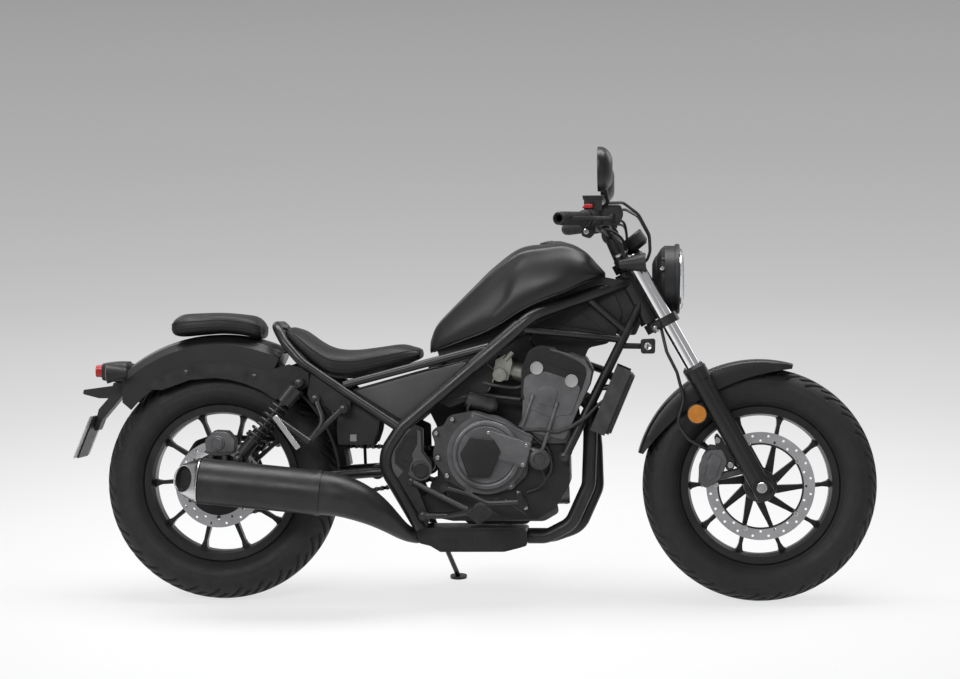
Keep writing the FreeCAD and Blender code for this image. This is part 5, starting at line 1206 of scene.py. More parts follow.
def chain():
    """Roller chain: inner and outer links strung round both sprockets."""
    pitch, y = CHAIN_PITCH, CHAIN_Y
    rear_r = pitch / (2 * math.sin(math.pi / REAR_TEETH))
    front_r = pitch / (2 * math.sin(math.pi / FRONT_TEETH))
    fx, fz = FRONT_SPROCKET_X, FRONT_SPROCKET_Z
    span = math.hypot(fx, fz - REAR_AXLE_Z)
    slope = math.atan2(fz - REAR_AXLE_Z, fx)
    wrap = math.asin((rear_r - front_r) / span)
    path = []
    for k in range(61):
        angle = slope + math.pi / 2 - wrap + (math.pi + 2 * wrap) * k / 60
        path.append((rear_r * math.cos(angle), y, REAR_AXLE_Z + rear_r * math.sin(angle)))
    for k in range(31):
        angle = slope - math.pi / 2 + wrap + (math.pi - 2 * wrap) * k / 30
        path.append((fx + front_r * math.cos(angle), y, fz + front_r * math.sin(angle)))
    around = sum(math.dist(a, b) for a, b in zip(path, path[1:] + path[:1]))
    count = 2 * round(around / pitch / 2)

    def link(name, plates, thickness, radius, waist, pin):
        shape = bmesh.new()
        rim = []
        for centre, start in ((pitch / 2, -90), (-pitch / 2, 90)):
            rim += [(centre + radius * math.cos(math.radians(start + a)),
                     radius * math.sin(math.radians(start + a))) for a in range(15, 180, 30)]
            rim.append((0, math.copysign(waist, start)))
        for low in (plates, -plates - thickness):
            rows = [[shape.verts.new((px, py, low + h)) for px, py in rim] for h in (0, thickness)]
            shape.faces.new(rows[0][::-1])
            shape.faces.new(rows[1])
            for i in range(len(rim)):
                j = (i + 1) % len(rim)
                shape.faces.new((rows[0][i], rows[0][j], rows[1][j], rows[1][i]))
        for centre in (pitch / 2, -pitch / 2):
            half, size = pin
            ring = [[shape.verts.new((centre + size * math.cos(math.pi * i / 4),
                                      size * math.sin(math.pi * i / 4),
                                      h)) for i in range(8)] for h in (-half, half)]
            shape.faces.new(ring[0][::-1])
            shape.faces.new(ring[1])
            for i in range(8):
                shape.faces.new((ring[0][i], ring[0][(i + 1) % 8], ring[1][(i + 1) % 8], ring[1][i]))
        bmesh.ops.recalc_face_normals(shape, faces=shape.faces)
        mesh = bpy.data.meshes.new(name)
        shape.to_mesh(mesh)
        shape.free()
        return pattern_object(name, mesh)

    outer = link("outer_link", 6.8, 1.7, 7.0, -4.6, (9.6, 2.4))
    inner = link("inner_link", 4.6, 1.7, 7.2, -5.0, (4.6, 5.0))
    piece = strung("chain_outer_links", outer, path, count, *CHAIN, (0, 1, 0), True, 2, 0)
    strung("chain_inner_links", inner, path, count, *CHAIN, (0, 1, 0), True, 2, 1)
    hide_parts("drive_chain")


# Tank

# Stations of the tank: forward place, underside, top and half width
TANK = ((583, 688, 722, 54), (600, 692, 764, 69), (640, 704, 808, 84), (700, 724, 868, 100),
        (760, 746, 926, 115), (830, 790, 976, 129), (900, 826, 988, 137), (960, 850, 991, 135),
        (1010, 876, 967, 119), (1045, 890, 931, 95), (1066, 897, 908, 61), )


def tank():
    """Pressed steel tank: a spine with a crease along each shoulder, full sides and hollows for the knees."""
    half_profile = ((0, 1.0), (0.28, 0.99), (0.50, 0.965), (0.655, 0.922), (0.70, 0.895), (0.755, 0.82),
                    (0.88, 0.64), (0.97, 0.44), (1.0, 0.27), (0.97, 0.12), (0.90, 0.03), (0.80, 0.0),
                    (0.5, 0.03), (0, 0.05))
    outline = spline([(a * 100, 0, b * 100) for a, b in half_profile], 64) / 100
    hollow_edge = np.array([(700, 742), (786, 753), (835, 797), (889, 813), (944, 841), (1010, 842)], float)
    rings = []
    lower = []
    for x, low, high, half in smooth_stations(TANK, 110):
        ring = []
        for side in (1, -1):
            points = outline if side > 0 else outline[-2:0:-1]
            for across, _, up in points:
                y, z = across * half, low + up * (high - low)
                edge = np.interp(z, hollow_edge[:, 0], hollow_edge[:, 1])
                top = 760 + (x - 616) * 0.88
                behind = 1 + math.exp(min(40, (x - edge) / 5.0))
                below = 1 + math.exp(min(40, (z - top) / 6.0))
                dent = 1 / behind / below
                y -= 6.5 * dent * max(0.0, across)**3
                ring.append((x, side * y, z))
        rings.append(ring)
        lower.append((x, half * 0.955 - 3.0, low + 0.075 * (high - low)))
    verts, faces = skinned(rings)
    piece = made("tank_shell", verts, faces, *TANK_PAINT, MM)
    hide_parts("fuel_tank")
    for side, word in SIDES[::-1]:
        path = [(x, side * y, z - 4) for x, y, z in lower[2:-2:9]]
        swept("tank_seam_" + word, path, [1.4, 2.6, 2.6, 2.6, 1.4], *TANK_PAINT, 10, 90)
        low, high = sorted((side * 46, side * 53))
        pressed("tank_tray_" + word, [(600, 700), (700, 736), (830, 802), (950, 858), (1055, 897),
                                      (1120, 884), (1060, 852), (900, 777), (767, 712), (690, 655),
                                      (620, 640)], low, high, *CHASSIS_TRIM, 1.5, 4)
    axis = (-0.02, 0, 1)
    lathe("tank_cap", [(-6, 37), (0.5, 37), (2.5, 35.5), (3.2, 33), (2.2, 32), (2.0, 30.5), (4.0, 28.5),
                       (6.0, 22), (6.6, 0)], (922, 0, 989), axis, *CHASSIS_TRIM, 64)
    lathe("tank_cap_lock", [(5.5, 7.5), (7.6, 7.5), (8.2, 6.5), (8.2, 0)], (914, 0, 989), axis,
          *CHASSIS_BOLT, 24)


# Covers between the tubes

PIVOT_FACES = (
    ("front", [(552, 478), (563, 474), (565, 417), (586, 390), (589, 364), (569, 346), (544, 339), (528, 360),
               (545, 367), (540, 413), (554, 438), (554, 470)]),
    ("back", [(476, 374), (473, 417), (526, 480), (540, 482), (520, 463), (492, 419), (492, 386), (516, 364),
              (500, 346)]),
)


def side_panels():
    """Covers, panels and pivot plates between the tubes, on both sides."""
    for side, word in SIDES:

        def flat(y, depth):
            return tuple(sorted((side * y, side * (y + depth))))

        cover = [(380, 583), (545, 628), (682, 663), (697, 652), (684, 640), (522, 506), (504, 506)]
        pressed("seat_cover_" + word, cover, *flat(98, 9), cover_grey, "chassis",
                              "trim_black", 3.2, 9)
        pressed("seat_cover_edge_" + word, [(368, 586), (560, 640), (706, 672), (716, 652), (690, 628),
                                            (524, 492), (496, 492)], *flat(92, 7), *CHASSIS_TRIM, 2, 10)
        pressed("head_cover_" + word, [(848, 758), (900, 784), (1000, 830), (1086, 862), (1112, 800),
                                       (1094, 724)], *flat(22, 6), *CHASSIS_TRIM, 1.5, 6)
        pressed("head_cover_rib_" + word, [(944, 763), (1004, 793), (1066, 745)], *flat(27, 6),
                *CHASSIS_TRIM, 2, 7)
        pressed("neck_cover_" + word, [(1046, 830), (1100, 868), (1150, 868), (1178, 800), (1150, 735),
                                       (1100, 735), (1070, 790)], *flat(12, 6), *CHASSIS_TRIM, 1.5, 6)
        pressed("neck_cover_rib_" + word, [(1080, 781), (1101, 800), (1109, 783), (1093, 767)],
                *flat(17, 6), *CHASSIS_TRIM, 1.6, 4)
        pressed("battery_box_" + word, [(326, 478), (332, 540), (430, 560), (448, 540), (440, 470),
                                        (428, 434), (330, 434)], *flat(68, 20), *CHASSIS_TRIM, 2.5, 6)
        pressed("air_box_side_" + word, [(598, 556), (608, 643), (688, 671), (752, 700), (772, 664),
                                         (752, 600), (742, 577), (640, 536)], *flat(83, 5), engine_dark_and_shade,
                "chassis", "alloy_grey", 2.5, 8)
        lathe("pivot_cover_" + word, [(-1, 21), (2.5, 21), (3.6, 19.5), (3.6, 16), (2.2, 15), (2.2, 0)],
              (563, side * 141, 369), (0, side, 0), trim_black, "chassis", "frame_black", 48)
        for part, face in PIVOT_FACES:
            pressed("pivot_face_%s_%s" % (part, word), face, *flat(134.4, 1.9), *PIVOT_PLATE, 0.8, 3)
        lathe("pivot_ring_" + word, [(0, 25.5), (1.5, 26), (2.2, 28), (1.5, 30), (0, 30.5)],
              (563, side * 136.0, 369), (0, side, 0), *PIVOT_PLATE, 48)
        pressed("label_" + word, [(364, 444), (364, 463), (382, 463), (382, 444)], *flat(87.5, 2),
                label_grey, "chassis", "trim_black", 0.6, 2)
    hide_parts("side_covers")


def inner_ducts():
    """A dark sheet in the darkest casting finish behind the engine's middle: it stands in for the hidden
    inner parts and is painted shade there, so that no daylight shows through.
    """
    pressed("inner_ducts", [(600, 480), (560, 560), (575, 650), (640, 705), (760, 745), (1085, 735),
                            (1075, 712), (1020, 700), (1000, 650), (990, 560), (1000, 470), (960, 440),
                            (960, 330), (600, 330)], -22, 22, *DARK_CASTING_AND_SHADE, 4, 10)


# Engine trim

def cam_trim():
    """Cam cover with its two round plugs."""
    for name, x, z in (("rear", 880, 646), ("front", 975, 611)):
        lathe("cam_plug_" + name, [(0, 18), (7.6, 18), (8.8, 17), (8.6, 14.6), (7.2, 13.8), (7.2, 0)],
              (x, -118, z), RIGHT, plug_silver, "chassis", "bolt_steel", 48)
    pressed("cam_box", [(838, 642), (858, 694), (878, 706), (903, 706), (922, 692), (944, 688), (962, 680),
                        (988, 668), (1013, 650), (1016, 628), (996, 634), (962, 640), (930, 652),
                        (900, 662)], -121.5, -117.5, *DARK_CASTING_AND_SHADE, 1.2, 8)
    pressed("head_front", [(836, 560), (838, 642), (858, 694), (878, 706), (903, 706), (922, 692),
                           (944, 688), (962, 680), (988, 668), (1013, 650), (1016, 628), (1004, 590),
                           (990, 560)], -119.6, -117.0, *DARK_CASTING_AND_SHADE, 1.0, 8)


def case_trim():
    """Faces of cylinder, clutch housing and sump, with the sump's crossed ribs."""
    pressed("cylinder_face", [(840, 536), (852, 532), (916, 506), (976, 514), (968, 440), (846, 440)], -112,
            -104, *BLACK_CASTING, 1.6, 6)
    pressed("clutch_flange", [(636, 512), (650, 520), (706, 530), (722, 528), (806, 500), (852, 470),
                              (864, 420), (852, 352), (812, 314), (742, 298), (690, 306), (628, 338),
                              (620, 360), (596, 390), (594, 412), (600, 440), (590, 470), (602, 484),
                              (622, 488)], -113, -102, *BLACK_CASTING, 3, 8)
    pressed("sump_side", [(612, 330), (680, 312), (760, 296), (830, 300), (930, 300), (940, 250),
                          (900, 226), (660, 226), (630, 262)], -98, -88, *BLACK_CASTING, 3, 10)
    for k, (a, b) in enumerate((((700, 296), (780, 236)), ((780, 296), (700, 236)),
                                ((780, 294), (860, 236)))):
        swept("sump_rib_%d" % k, [(a[0], -97.5, a[1]), ((a[0] + b[0]) / 2, -99, (a[1] + b[1]) / 2),
                                  (b[0], -97.5, b[1])], [2, 3.2, 2], *BLACK_CASTING, 8)


def head_trim():
    """Raised panel of the head, with the two rods that run down from it."""
    pressed("head_panel", [(846, 622), (866, 632), (900, 638), (950, 622), (990, 604), (1000, 590),
                           (976, 520), (916, 512), (852, 538), (842, 580)], -121.8, -117.6, *SATIN_CASTING,
            1.6, 10)
    pressed("head_rib", [(884, 590), (902, 598), (922, 596), (938, 582), (926, 541), (880, 552)], -124.6,
            -121.0, *SATIN_CASTING, 1.2, 3)
    for name, (x1, z1), (x2, z2) in (("rear", (868, 567), (840, 488)),
                                     ("front", (934, 546), (893, 417))):
        swept("cylinder_rod_" + name, [(x1, -122, z1), ((x1 + x2) / 2, -123, (z1 + z2) / 2),
                                       (x2, -122, z2)], 5.4, *SATIN_CASTING, 14)
        lathe("cylinder_rod_cap_" + name, [(-6, 6.5), (5, 6.5), (7.5, 5), (7.5, 0)], (x1, -122, z1),
              (x1 - x2, 0, z1 - z2), *SATIN_CASTING, 24)


def clutch_trim():
    """Hexagon, rim and gasket of the clutch cover."""
    pressed("clutch_hexagon", [(700, 459), (763, 454), (783, 420), (751, 348), (694, 348), (672, 413)],
            -157.6, -138, *DARK_CASTING_AND_SHADE, 5.5, 5)
    lathe("clutch_ring", [(-1, 79), (3, 80), (5, 83), (5.4, 87), (4, 91), (0, 94)], (742, -137, 410), RIGHT,
          *SATIN_CASTING, 80)
    lathe("clutch_gasket", [(-1.2, 109.5), (1.2, 109.5), (1.2, 107), (-1.2, 107)], (742, -103, 410), RIGHT,
          gasket_grey, "chassis", "engine_black", 90)


def pump_trim():
    """Face and cap of the pump, the ribs beside it and the collars of the column above it."""
    pressed("pump_face", [(748, 478), (866, 441), (848, 379), (774, 400)], -149.6, -144.0, *SATIN_CASTING,
            2.4, 7)
    for k, (a, b) in enumerate((((704, 524), (800, 492)), ((806, 490), (868, 458)))):
        swept("starter_rib_%d" % k, [(a[0], -130.5, a[1]), ((a[0] + b[0]) / 2, -131.5, (a[1] + b[1]) / 2),
                                     (b[0], -130.5, b[1])], [2, 3, 2], *SATIN_CASTING, 10)
    for k, (x, z) in enumerate(((839, 484), (905, 452))):
        for share in (0.06, 0.96):
            lathe("column_collar_%d_%d" % (k, share * 100), [(-7, 9.3), (-6, 11), (6, 11), (7, 9.3)],
                  (x + 31 * share, -108, z + 92 * share), (31, 0, 92), *SATIN_CASTING, 24)
    lathe("pump_cap", [(-3, 27.4), (0, 28.6), (6, 28.6), (8, 26), (8, 17), (5, 15), (5, 0)],
          (888, -133, 398), RIGHT, *BLACK_CASTING, 40)


def oil_filter_trim():
    """Shell of the oil filter with its flutes for a wrench."""
    lathe("oil_filter_shell", [(-30, 34.2), (-28, 35.6), (28, 35.6), (30, 34.2)], (936, -20, 303),
          (1, 0, 0.04), *SATIN_CASTING, 60)
    rib = pattern_shape("filter_flute", [(0, 5), (1.0, 5), (1.6, 4), (1.6, -4), (1.0, -5), (0, -5)], 6)
    strung("filter_flutes", rib, [(958, -20 + 35 * math.cos(a),
                                   303.9 + 35 * math.sin(a)) for a in np.linspace(0, 2 * math.pi, 49)[:-1]],
           24, *SATIN_CASTING, (1, 0, 0.04), True)


def engine_leads():
    """Cables, hoses and leads that show between the covers, with the parts that they serve."""
    runs = (
        ("loom", [(640, -74, 560), (676, -84, 566), (720, -86, 572), (780, -84, 566), (836, -96, 560)], 7.0),
        ("throttle_cable", [(760, -104, 642), (740, -108, 670), (770, -100, 712), (850, -84, 742)], 3.2),
        ("breather", [(664, -66, 586), (720, -80, 604), (768, -92, 598), (820, -92, 592), (846, -98, 600)],
         6.0),
        ("plug_lead", [(870, -60, 704), (860, -88, 726), (884, -70, 748), (930, -48, 752)], 3.6),
        ("starter_cable", [(706, -96, 500), (690, -104, 534), (712, -104, 556), (760, -100, 552)], 4.4),
        ("sensor_wire", [(846, -134, 438), (866, -136, 420), (900, -130, 352), (884, -112, 320),
                         (850, -108, 306)], 2.6),
        ("oil_line", [(856, -112, 470), (884, -116, 446), (912, -116, 420), (918, -106, 372),
                      (900, -96, 338)], 5.0),
    )
    for name, points, radius in runs:
        swept(name, points, radius, hose_rubber, "chassis", "grip_rubber", 12)
    lathe("starter_motor", [(-4, 0), (-4, 20), (0, 24), (70, 24), (76, 20), (84, 12), (84, 0)],
          (690, -86, 562), (0.93, 0, -0.28), *BLACK_CASTING, 40)
    lathe("throttle_cap", [(0, 19.5), (3, 19.5), (4.6, 18), (4.6, 15.5), (3.4, 14.6), (3.4, 0)],
          (778, -111.8, 628), RIGHT, alloy_grey, "chassis", "alloy_grey", 40)
    pressed("sensor_bracket", [(824, 312), (836, 308), (856, 262), (846, 258), (838, 278), (830, 276)],
            -118, -114, *CHASSIS_BOLT, 0.8, 2)


def radiator_trim():
    """Rows of thin fins up the front of the radiator core."""
    lean = Vector((75, 0, 178)).normalized()
    face = Vector((lean.z, 0, -lean.x))
    base = Vector((1048, 0, 476))
    fin = bpy.data.meshes.new("fin")
    width, depth, height = 262.0, 9.0, 1.2
    corners = [(a * depth / 2, b * width / 2,
                c * height / 2) for a in (-1, 1) for b in (-1, 1) for c in (-1, 1)]
    fin.from_pydata(corners, [], [(0, 1, 3, 2), (4, 6, 7, 5), (0, 4, 5, 1), (2, 3, 7, 6), (0, 2, 6, 4),
                                  (1, 5, 7, 3)])
    fin.transform(Matrix.Rotation(math.radians(90), 4, "Y"))
    path = [tuple(base + face * 31 + lean * d) for d in (6, 172)]
    strung("radiator_fins", pattern_object("fin", fin), path, 34, *SATIN_CASTING, tuple(-face))


# Headlamp, gauge, signals

def headlamp_trim():
    """Ring, glass, bowl, four lamp units, collar and screws of the headlamp."""
    x, z = 1256.0, 890.0
    lathe("lamp_ring", [(2, 90.5), (2, 95), (5, 97), (12, 97), (15, 94), (15, 89.5), (11, 88)], (x, 0, z),
          AHEAD, *FORK_TRIM, 96)
    lens = lathe("lamp_glass", [(7, 87.6), (14, 87.2), (21, 82), (25.5, 66), (27.4, 40), (28, 0), (25, 0),
                                (24.4, 40), (22.6, 64), (18.5, 79.5), (13, 84.4), (7, 85)], (x, 0, z),
                 AHEAD, clear_lens, "fork", "lens_clear", 96)
    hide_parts("headlight_lens")
    lathe("lamp_bowl", [(6.4, 84.4), (17.5, 81), (15.0, 78), (7.5, 73.5), (6.8, 0)], (x, 0, z), AHEAD,
          reflector_chrome, "fork", "lens_clear", 96)
    for row, height in enumerate((27, -27)):
        for side in (-1, 1):
            centre = (x + 6.8, side * 27, z + height)
            bowl = [(0, 26), (9, 26), (10.5, 24.5), (8, 22), (5, 20), (6, 19), (11, 14), (13, 0)]
            lathe("lamp_unit_%d_%d" % (row, side + 1), bowl, centre, AHEAD, lamp_unit, "fork",
                  "lens_clear", 40)
    lathe("lamp_collar", [(-60.5, 42), (-56, 54), (-50.5, 63.5), (-49, 63), (-55, 52), (-60.5, 39)],
          (x, 0, z), AHEAD, *FORK_TRIM, 64)
    screw = pattern_shape("lamp_screw", [(0, 0.3), (0.4, 0.3), (0.5, 0.8), (0.9, 0.7), (1.0, 0.2),
                                         (1.0, -0.6)])
    scattered("lamp_screws", screw, [((1222, side * 86.5, 916), (0.1, side, 0.3), 6.5) for side in (-1, 1)],
              *FORK_BOLT)


def gauge_trim():
    """Bezel and glass of the round meter."""
    dial_at, dial_axis = (1146, 0, 988), (-0.62, 0, 0.78)
    lathe("gauge_bezel", [(15.5, 38.6), (20.5, 38.4), (22.6, 36.6), (22.6, 34.4), (20.2, 33.6)], dial_at,
          dial_axis, *FORK_TRIM, 64)
    lathe("gauge_glass", [(20.3, 34), (21.6, 33.6), (22.4, 20), (22.6, 0)], dial_at, dial_axis, dial_glass,
          "fork", "lens_clear", 64)


def signal_trim():
    """Rings and lenses of the turn signals, and rims of the side reflectors."""
    for side, word in SIDES:
        lathe("front_signal_ring_" + word, [(-3, 26.2), (0, 27.4), (2.6, 27.2), (3, 25.2)],
              (1174, side * 160, 932), (0.996, 0, 0.088), *FORK_TRIM, 40)
        lathe("front_signal_lens_" + word, [(0, 24.6), (1.4, 24), (2.4, 20), (2.8, 12), (3, 0)],
              (1174, side * 160, 932), (0.996, 0, 0.088), amber_plastic, "fork", "lens_amber", 40)
        lathe("rear_signal_lens_" + word, [(-1, 25), (0.6, 24.5), (2.5, 20), (3.4, 12), (3.6, 0)],
              (-304, side * 124, 632), (-1, side * 0.04, -0.04), amber_plastic, "chassis", "lens_amber", 40)
        lathe("reflector_rim_" + word, [(-1, 28.6), (6.5, 28.6), (8.4, 27), (8.4, 24.8)],
              (1316, side * 112.3, 521), (0, side, 0), *FORK_TRIM, 48)


def mirror_glasses():
    """Slightly domed glasses in the backs of the mirror shells."""
    for side, word in SIDES:
        rings = []
        for share, depth in ((1.0, 0.0), (0.97, -0.9), (0.7, -1.5), (0.35, -1.9)):
            ring = []
            for i in range(48):
                a = 2 * math.pi * i / 48
                c, sn = math.cos(a), math.sin(a)
                ring.append((1049.7 + depth, side * 345 + 79 * share * math.copysign(abs(c)**0.75, c),
                             1174 + 53 * share * math.copysign(abs(sn)**0.75, sn)))
            rings.append(ring)
        verts, faces = skinned(rings)
        made("mirror_glass_" + word, verts, faces, mirror_glass, "fork", "mirror_black", MM)


# Bar ends, switches and pedals

def grip_point(share, side):
    """A place along a grip's middle line, from its inner end (0) to its outer end (1)."""
    a, b = Vector((1016, 284, 1047)), Vector((950, 404, 1043))
    place = a + (b - a) * share
    return (place.x, side * place.y, place.z)


FORK_AXIS = (-math.sin(RAKE), 0, math.cos(RAKE))


def on_fork(height, side, rise=0):
    """The middle of a fork tube at a height, or a little above that."""
    return (WHEELBASE - (height - FRONT_AXLE_Z) * math.tan(RAKE), side * FORK_HALF_WIDTH, height + rise)


def grip_trim():
    """Raised rings, flange and end ring of both grips, with a seam on the switch housings."""
    for side, word in SIDES:
        a, b = Vector(grip_point(0, side)), Vector(grip_point(1, side))
        ring = pattern_shape("grip_ring_" + word, [(17.1, -2.2), (18.3, -1.4), (18.3, 1.4), (17.1, 2.2)], 24)
        ring.data.transform(Matrix.Rotation(math.radians(90), 4, "Y"))
        strung("grip_rings_" + word, ring, [tuple(a + (b - a) * 0.12), tuple(a + (b - a) * 0.9)], 17, *GRIP)
        axis = tuple(b - a)
        lathe("grip_flange_" + word, [(-3, 13), (-3, 22), (0, 23.5), (3, 22), (5, 17.5)],
              tuple(a + (b - a) * 0.035), axis, *GRIP, 40)
        lathe("bar_end_" + word, [(-2, 17.2), (3, 17.2), (5, 15), (5, 12.9), (1, 12.9)], tuple(b), axis,
              *FORK_TRIM, 40)
        lathe("switch_seam_" + word, [(-1.0, 24.2), (1.0, 24.2), (1.0, 24.9), (-1.0, 24.9)],
              grip_point(-0.18, side), axis, *FORK_TRIM, 40)


def brake_lever_trim():
    """Stop switch, master cylinder and lever perch on the right of the bar."""
    pressed("stop_switch", [(1006, 1076), (1014, 1086), (1034, 1086), (1036, 1076)], -262, -246, red_switch,
            "fork", "lens_red", 2.0, 3)
    pressed("brake_cylinder", [(1040, 1030), (1036, 1062), (1050, 1086), (1110, 1086), (1118, 1060),
                               (1106, 1030)], -244, -214, *FORK_TRIM, 4.5, 9)
    pressed("lever_perch", [(1000, 1036), (1006, 1002), (1028, 995), (1042, 1010), (1044, 1036)], -244,
            -222, *FORK_TRIM, 3, 6)
    lathe("lever_pivot", [(-1, 7.5), (3, 7.5), (4.4, 6), (4.4, 0)], (1018, -244, 1014), (0, -1, 0),
          *FORK_BOLT, 24)


def riser_trim():
    """Risers of the bar with their rings, and the cables that run past them."""
    for side in (-1, 1):
        foot, top = Vector((1112, side * 46, 950)), Vector((1084, side * 62, 1006))
        lathe("riser_%d" % (side + 1), [(-4, 15), (0, 18.5), (10, 20), (34, 20), (40, 17), (62, 15.5),
                                        (66, 13)], tuple(foot), tuple(top - foot), *FORK_TRIM, 32)
        lathe("riser_ring_%d" % (side + 1), [(9, 20), (9, 23.5), (13, 24.5), (16, 23.5), (16, 20)],
              tuple(foot), tuple(top - foot), *FORK_BOLT, 40)
        swept("bar_cable_%d" % (side + 1), [(1090, side * 190, 1050), (1118, side * 150, 1040),
                                            (1126, side * 90, 1000), (1122, side * 60, 968),
                                            (1130, side * 40, 940)], 3.6, *BAR_HOSE, 10)
        swept("bar_loop_%d" % (side + 1), [(1040, side * 214, 1042), (1052, side * 190, 1026),
                                           (1082, side * 150, 1020), (1112, side * 100, 1000),
                                           (1124, side * 62, 968)], 3.2, *BAR_HOSE, 10)


def switch_trim():
    """Buttons of the right switch housing, and the lid and window of the reservoir."""
    for k, (x, z, r) in enumerate(((1022, 1062, 5.5), (1008, 1056, 4.0))):
        lathe("switch_button_%d" % k, [(0, r), (5, r), (6.2, r - 1), (6.4, 0)], (x, -264, z),
              (-0.4, -0.9, 0.2), *FORK_TRIM, 20)
    pressed("reservoir_lid", [(1008, 1104), (1008, 1110), (1064, 1110), (1064, 1104)], -256, -202,
            *FORK_TRIM, 2.2, 2.5)
    lathe("reservoir_window", [(0, 8), (1.6, 8), (2.2, 7), (1.2, 6), (1.2, 0)], (1034, -252, 1086),
          (0, -1, 0), dial_glass, "fork", "trim_black", 24)


def fork_trim():
    """Caps, dust seals and rings of the fork tubes, with the ends of the axle."""
    for side in (-1, 1):
        lathe("fork_cap_%d" % (side + 1), [(-2, 20.6), (4, 20.6), (6, 18.5), (6, 12), (9, 11), (9, 5),
                                           (6, 4.4), (6, 0)], on_fork(945, side), FORK_AXIS, *FORK_BOLT, 36)
        lathe("fork_seal_%d" % (side + 1), [(-4, 30.8), (3, 30.8), (6, 28), (9, 24), (12, 20.9)],
              on_fork(641, side), FORK_AXIS, *GRIP, 48)
        lathe("axle_end_%d" % (side + 1), [(-3, 14.4), (1.5, 14.4), (3, 13), (3, 8.6), (-1, 8.4), (-1, 0)],
              (WHEELBASE, side * 138, FRONT_AXLE_Z), (0, side, 0), *FORK_BOLT, 40)
        lathe("steering_ring_%d" % (side + 1), [(-3, 21), (-3, 23.5), (3, 23.5), (3, 21)],
              on_fork(915, side, 30), (-0.49, 0, 0.87), *FORK_TRIM, 32)


def pedals():
    """Ribbed rubbers on the riders' pegs, with their end plates."""
    for side, word in SIDES:
        lo, hi = sorted((side * 228, side * 322))
        pressed("peg_rubber_" + word, [(706, 264), (734, 286), (766, 268), (734, 243)], lo, hi, *PEG_RUBBER,
                4, 8)
        rib = pattern_shape("peg_rib_" + word, [(0, -2.4), (21, -2.4), (23.5, -1.2), (23.5, 1.2), (21, 2.4),
                                                (0, 2.4)], 10)
        rib.data.transform(Matrix.Rotation(math.radians(90), 4, "Y"))
        strung("peg_ribs_" + word, rib, [(734, side * 236, 266), (737, side * 316, 268)], 8, *PEG_RUBBER)
        lo, hi = sorted((side * 322, side * 329))
        pressed("peg_end_" + word, [(699, 264), (735, 293), (774, 269), (734, 234)], lo, hi, *PEG_RUBBER, 2,
                8)


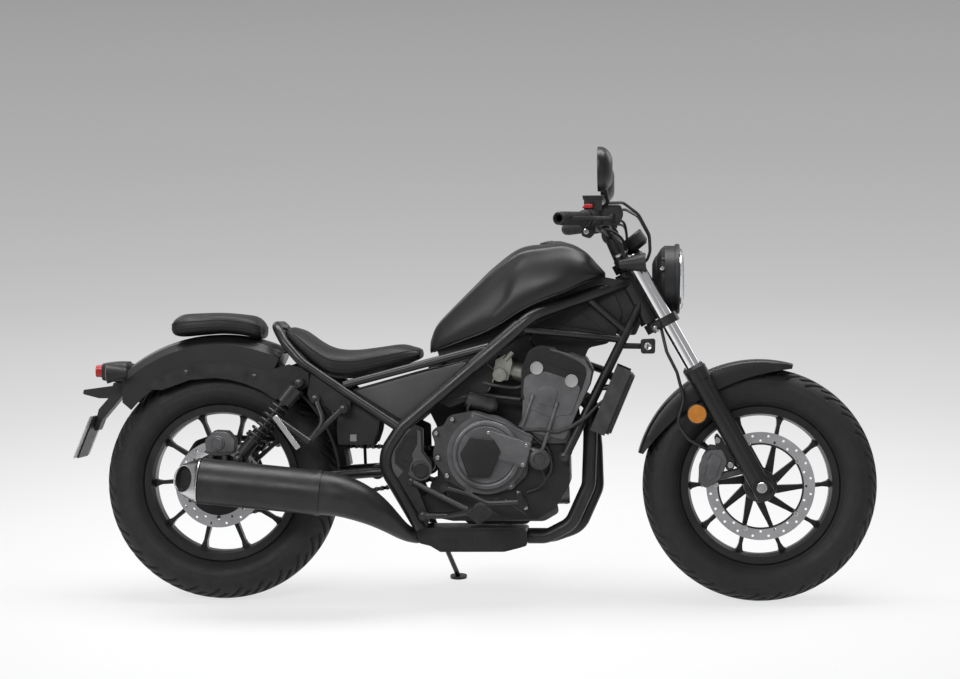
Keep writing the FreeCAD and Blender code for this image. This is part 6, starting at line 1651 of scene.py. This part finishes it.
def muffler_trim():
    """Bands and end cap of the muffler, with a near-black liner in its outlet: soot, and painted shade for
    the depth of the pipe.
    """
    along = (Vector((-36, -207, 343)) - Vector((300, -207, 310))).normalized()
    start = Vector((300, -207, 310))
    lathe("muffler_band", [(2, 61.4), (2, 62.6), (13, 62.9), (13, 61.4)], tuple(start), tuple(along),
          *EXHAUST, 72)
    lathe("muffler_rear_band", [(322, 61.6), (322, 62.5), (330, 62.5), (330, 61.4)], tuple(start),
          tuple(along), *EXHAUST, 72)
    base = start + along * 334
    out = Vector((0, -1, 0.12)).normalized()
    rings = []
    for share, radius, depth in ((0, 60.0, 0), (0, 63.2, 0), (0.10, 63.4, 0), (0.16, 62.2, 0),
                                 (0.36, 57.5, 0), (0.60, 51.0, 0), (0.84, 43.6, 0), (0.97, 39.4, 0),
                                 (1.0, 37.4, 0), (1.0, 35.6, 2), (0.96, 34.2, 8), (0.80, 33.6, 22)):
        tilt = (along * (1 - 0.55 * share) + out * (0.55 * share)).normalized()
        other = tilt.cross(Vector((0, 0, 1))).normalized()
        across = other.cross(tilt)
        centre = base + along * 46 * share + out * 11 * share**1.6 - tilt * depth * 0.4
        rings.append([tuple(centre + (across * math.cos(a) + other * math.sin(a)) * radius)
                      for a in (2 * math.pi * i / 64 for i in range(64))])
    verts = [v for ring in rings for v in ring]
    cap = made("muffler_cap", verts, grid_faces(len(rings), 64, False, True), cap_silver, "chassis",
               "cap_silver", MM)
    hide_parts("muffler_tip")
    tilt = (along * 0.45 + out * 0.55).normalized()
    # The liner closes the outlet with near-black: soot, and painted shade for the pipe's depth.
    lathe("outlet_liner", [(0, 0), (1, 33.4), (13, 34.6), (14, 34.6), (1.6, 34.9), (-1, 0)],
          tuple(base + along * 38 + out * 7.5 - tilt * 9), tuple(tilt), soot_and_shade_black, "chassis",
          "exhaust_black", 48)


def chamber_trim():
    """Two stepped panels on the right face of the exhaust chamber."""
    y = -112.6
    pressed("chamber_panel_0", [(592, 196), (598, 168), (622, 150), (786, 150), (826, 160), (846, 168),
                                (846, 196), (800, 203)], y - 1.6, y + 0.4, *EXHAUST, 0.8, 6)
    pressed("chamber_step_0", [(606, 184), (612, 168), (630, 158), (700, 158), (704, 184)], y - 3.2,
            y - 1.2, *EXHAUST, 0.9, 5)


def header_trim():
    """Flanges at the tops of the headers, and the bolt of the muffler's hanger."""
    for k, y in enumerate((-48, 48)):
        lathe("header_flange_%d" % k, [(0, 20), (0, 28), (2, 29.5), (7, 29.5), (9, 28), (9, 20)],
              (990, y, 572), (0.86, 0, -0.5), *EXHAUST, 40)
    lathe("hanger_bolt", [(-8, 9), (0, 11), (3, 12.5), (6, 12.5), (8, 11), (8, 6), (5, 5), (5, 0)],
          (489, -176, 247), (0, -1, 0), *CHASSIS_BOLT, 24)


place_camera()
studio()
studio_floor()
studio_air()
dress_nodes()
tyre("front_tyre", front_axle, 0.322, 0.130, 0.088, "front_wheel")
tyre("rear_tyre", rear_axle, 0.326, 0.150, 0.100, "rear_wheel")
seat("rider_cushion", RIDER_SEAT, 0.005, "rider_seat")
seat("passenger_cushion", PASSENGER_SEAT, 0.004, "passenger_seat")
fasteners()
front_caliper_trim()
hub_trim()
rear_caliper_trim()
lock_trim()
peg_guards()
front_fender()
chain()
tank()
side_panels()
inner_ducts()
cam_trim()
case_trim()
head_trim()
clutch_trim()
pump_trim()
oil_filter_trim()
engine_leads()
radiator_trim()
headlamp_trim()
gauge_trim()
signal_trim()
mirror_glasses()
grip_trim()
brake_lever_trim()
riser_trim()
switch_trim()
fork_trim()
pedals()
muffler_trim()
chamber_trim()
header_trim()
put_away_patterns()
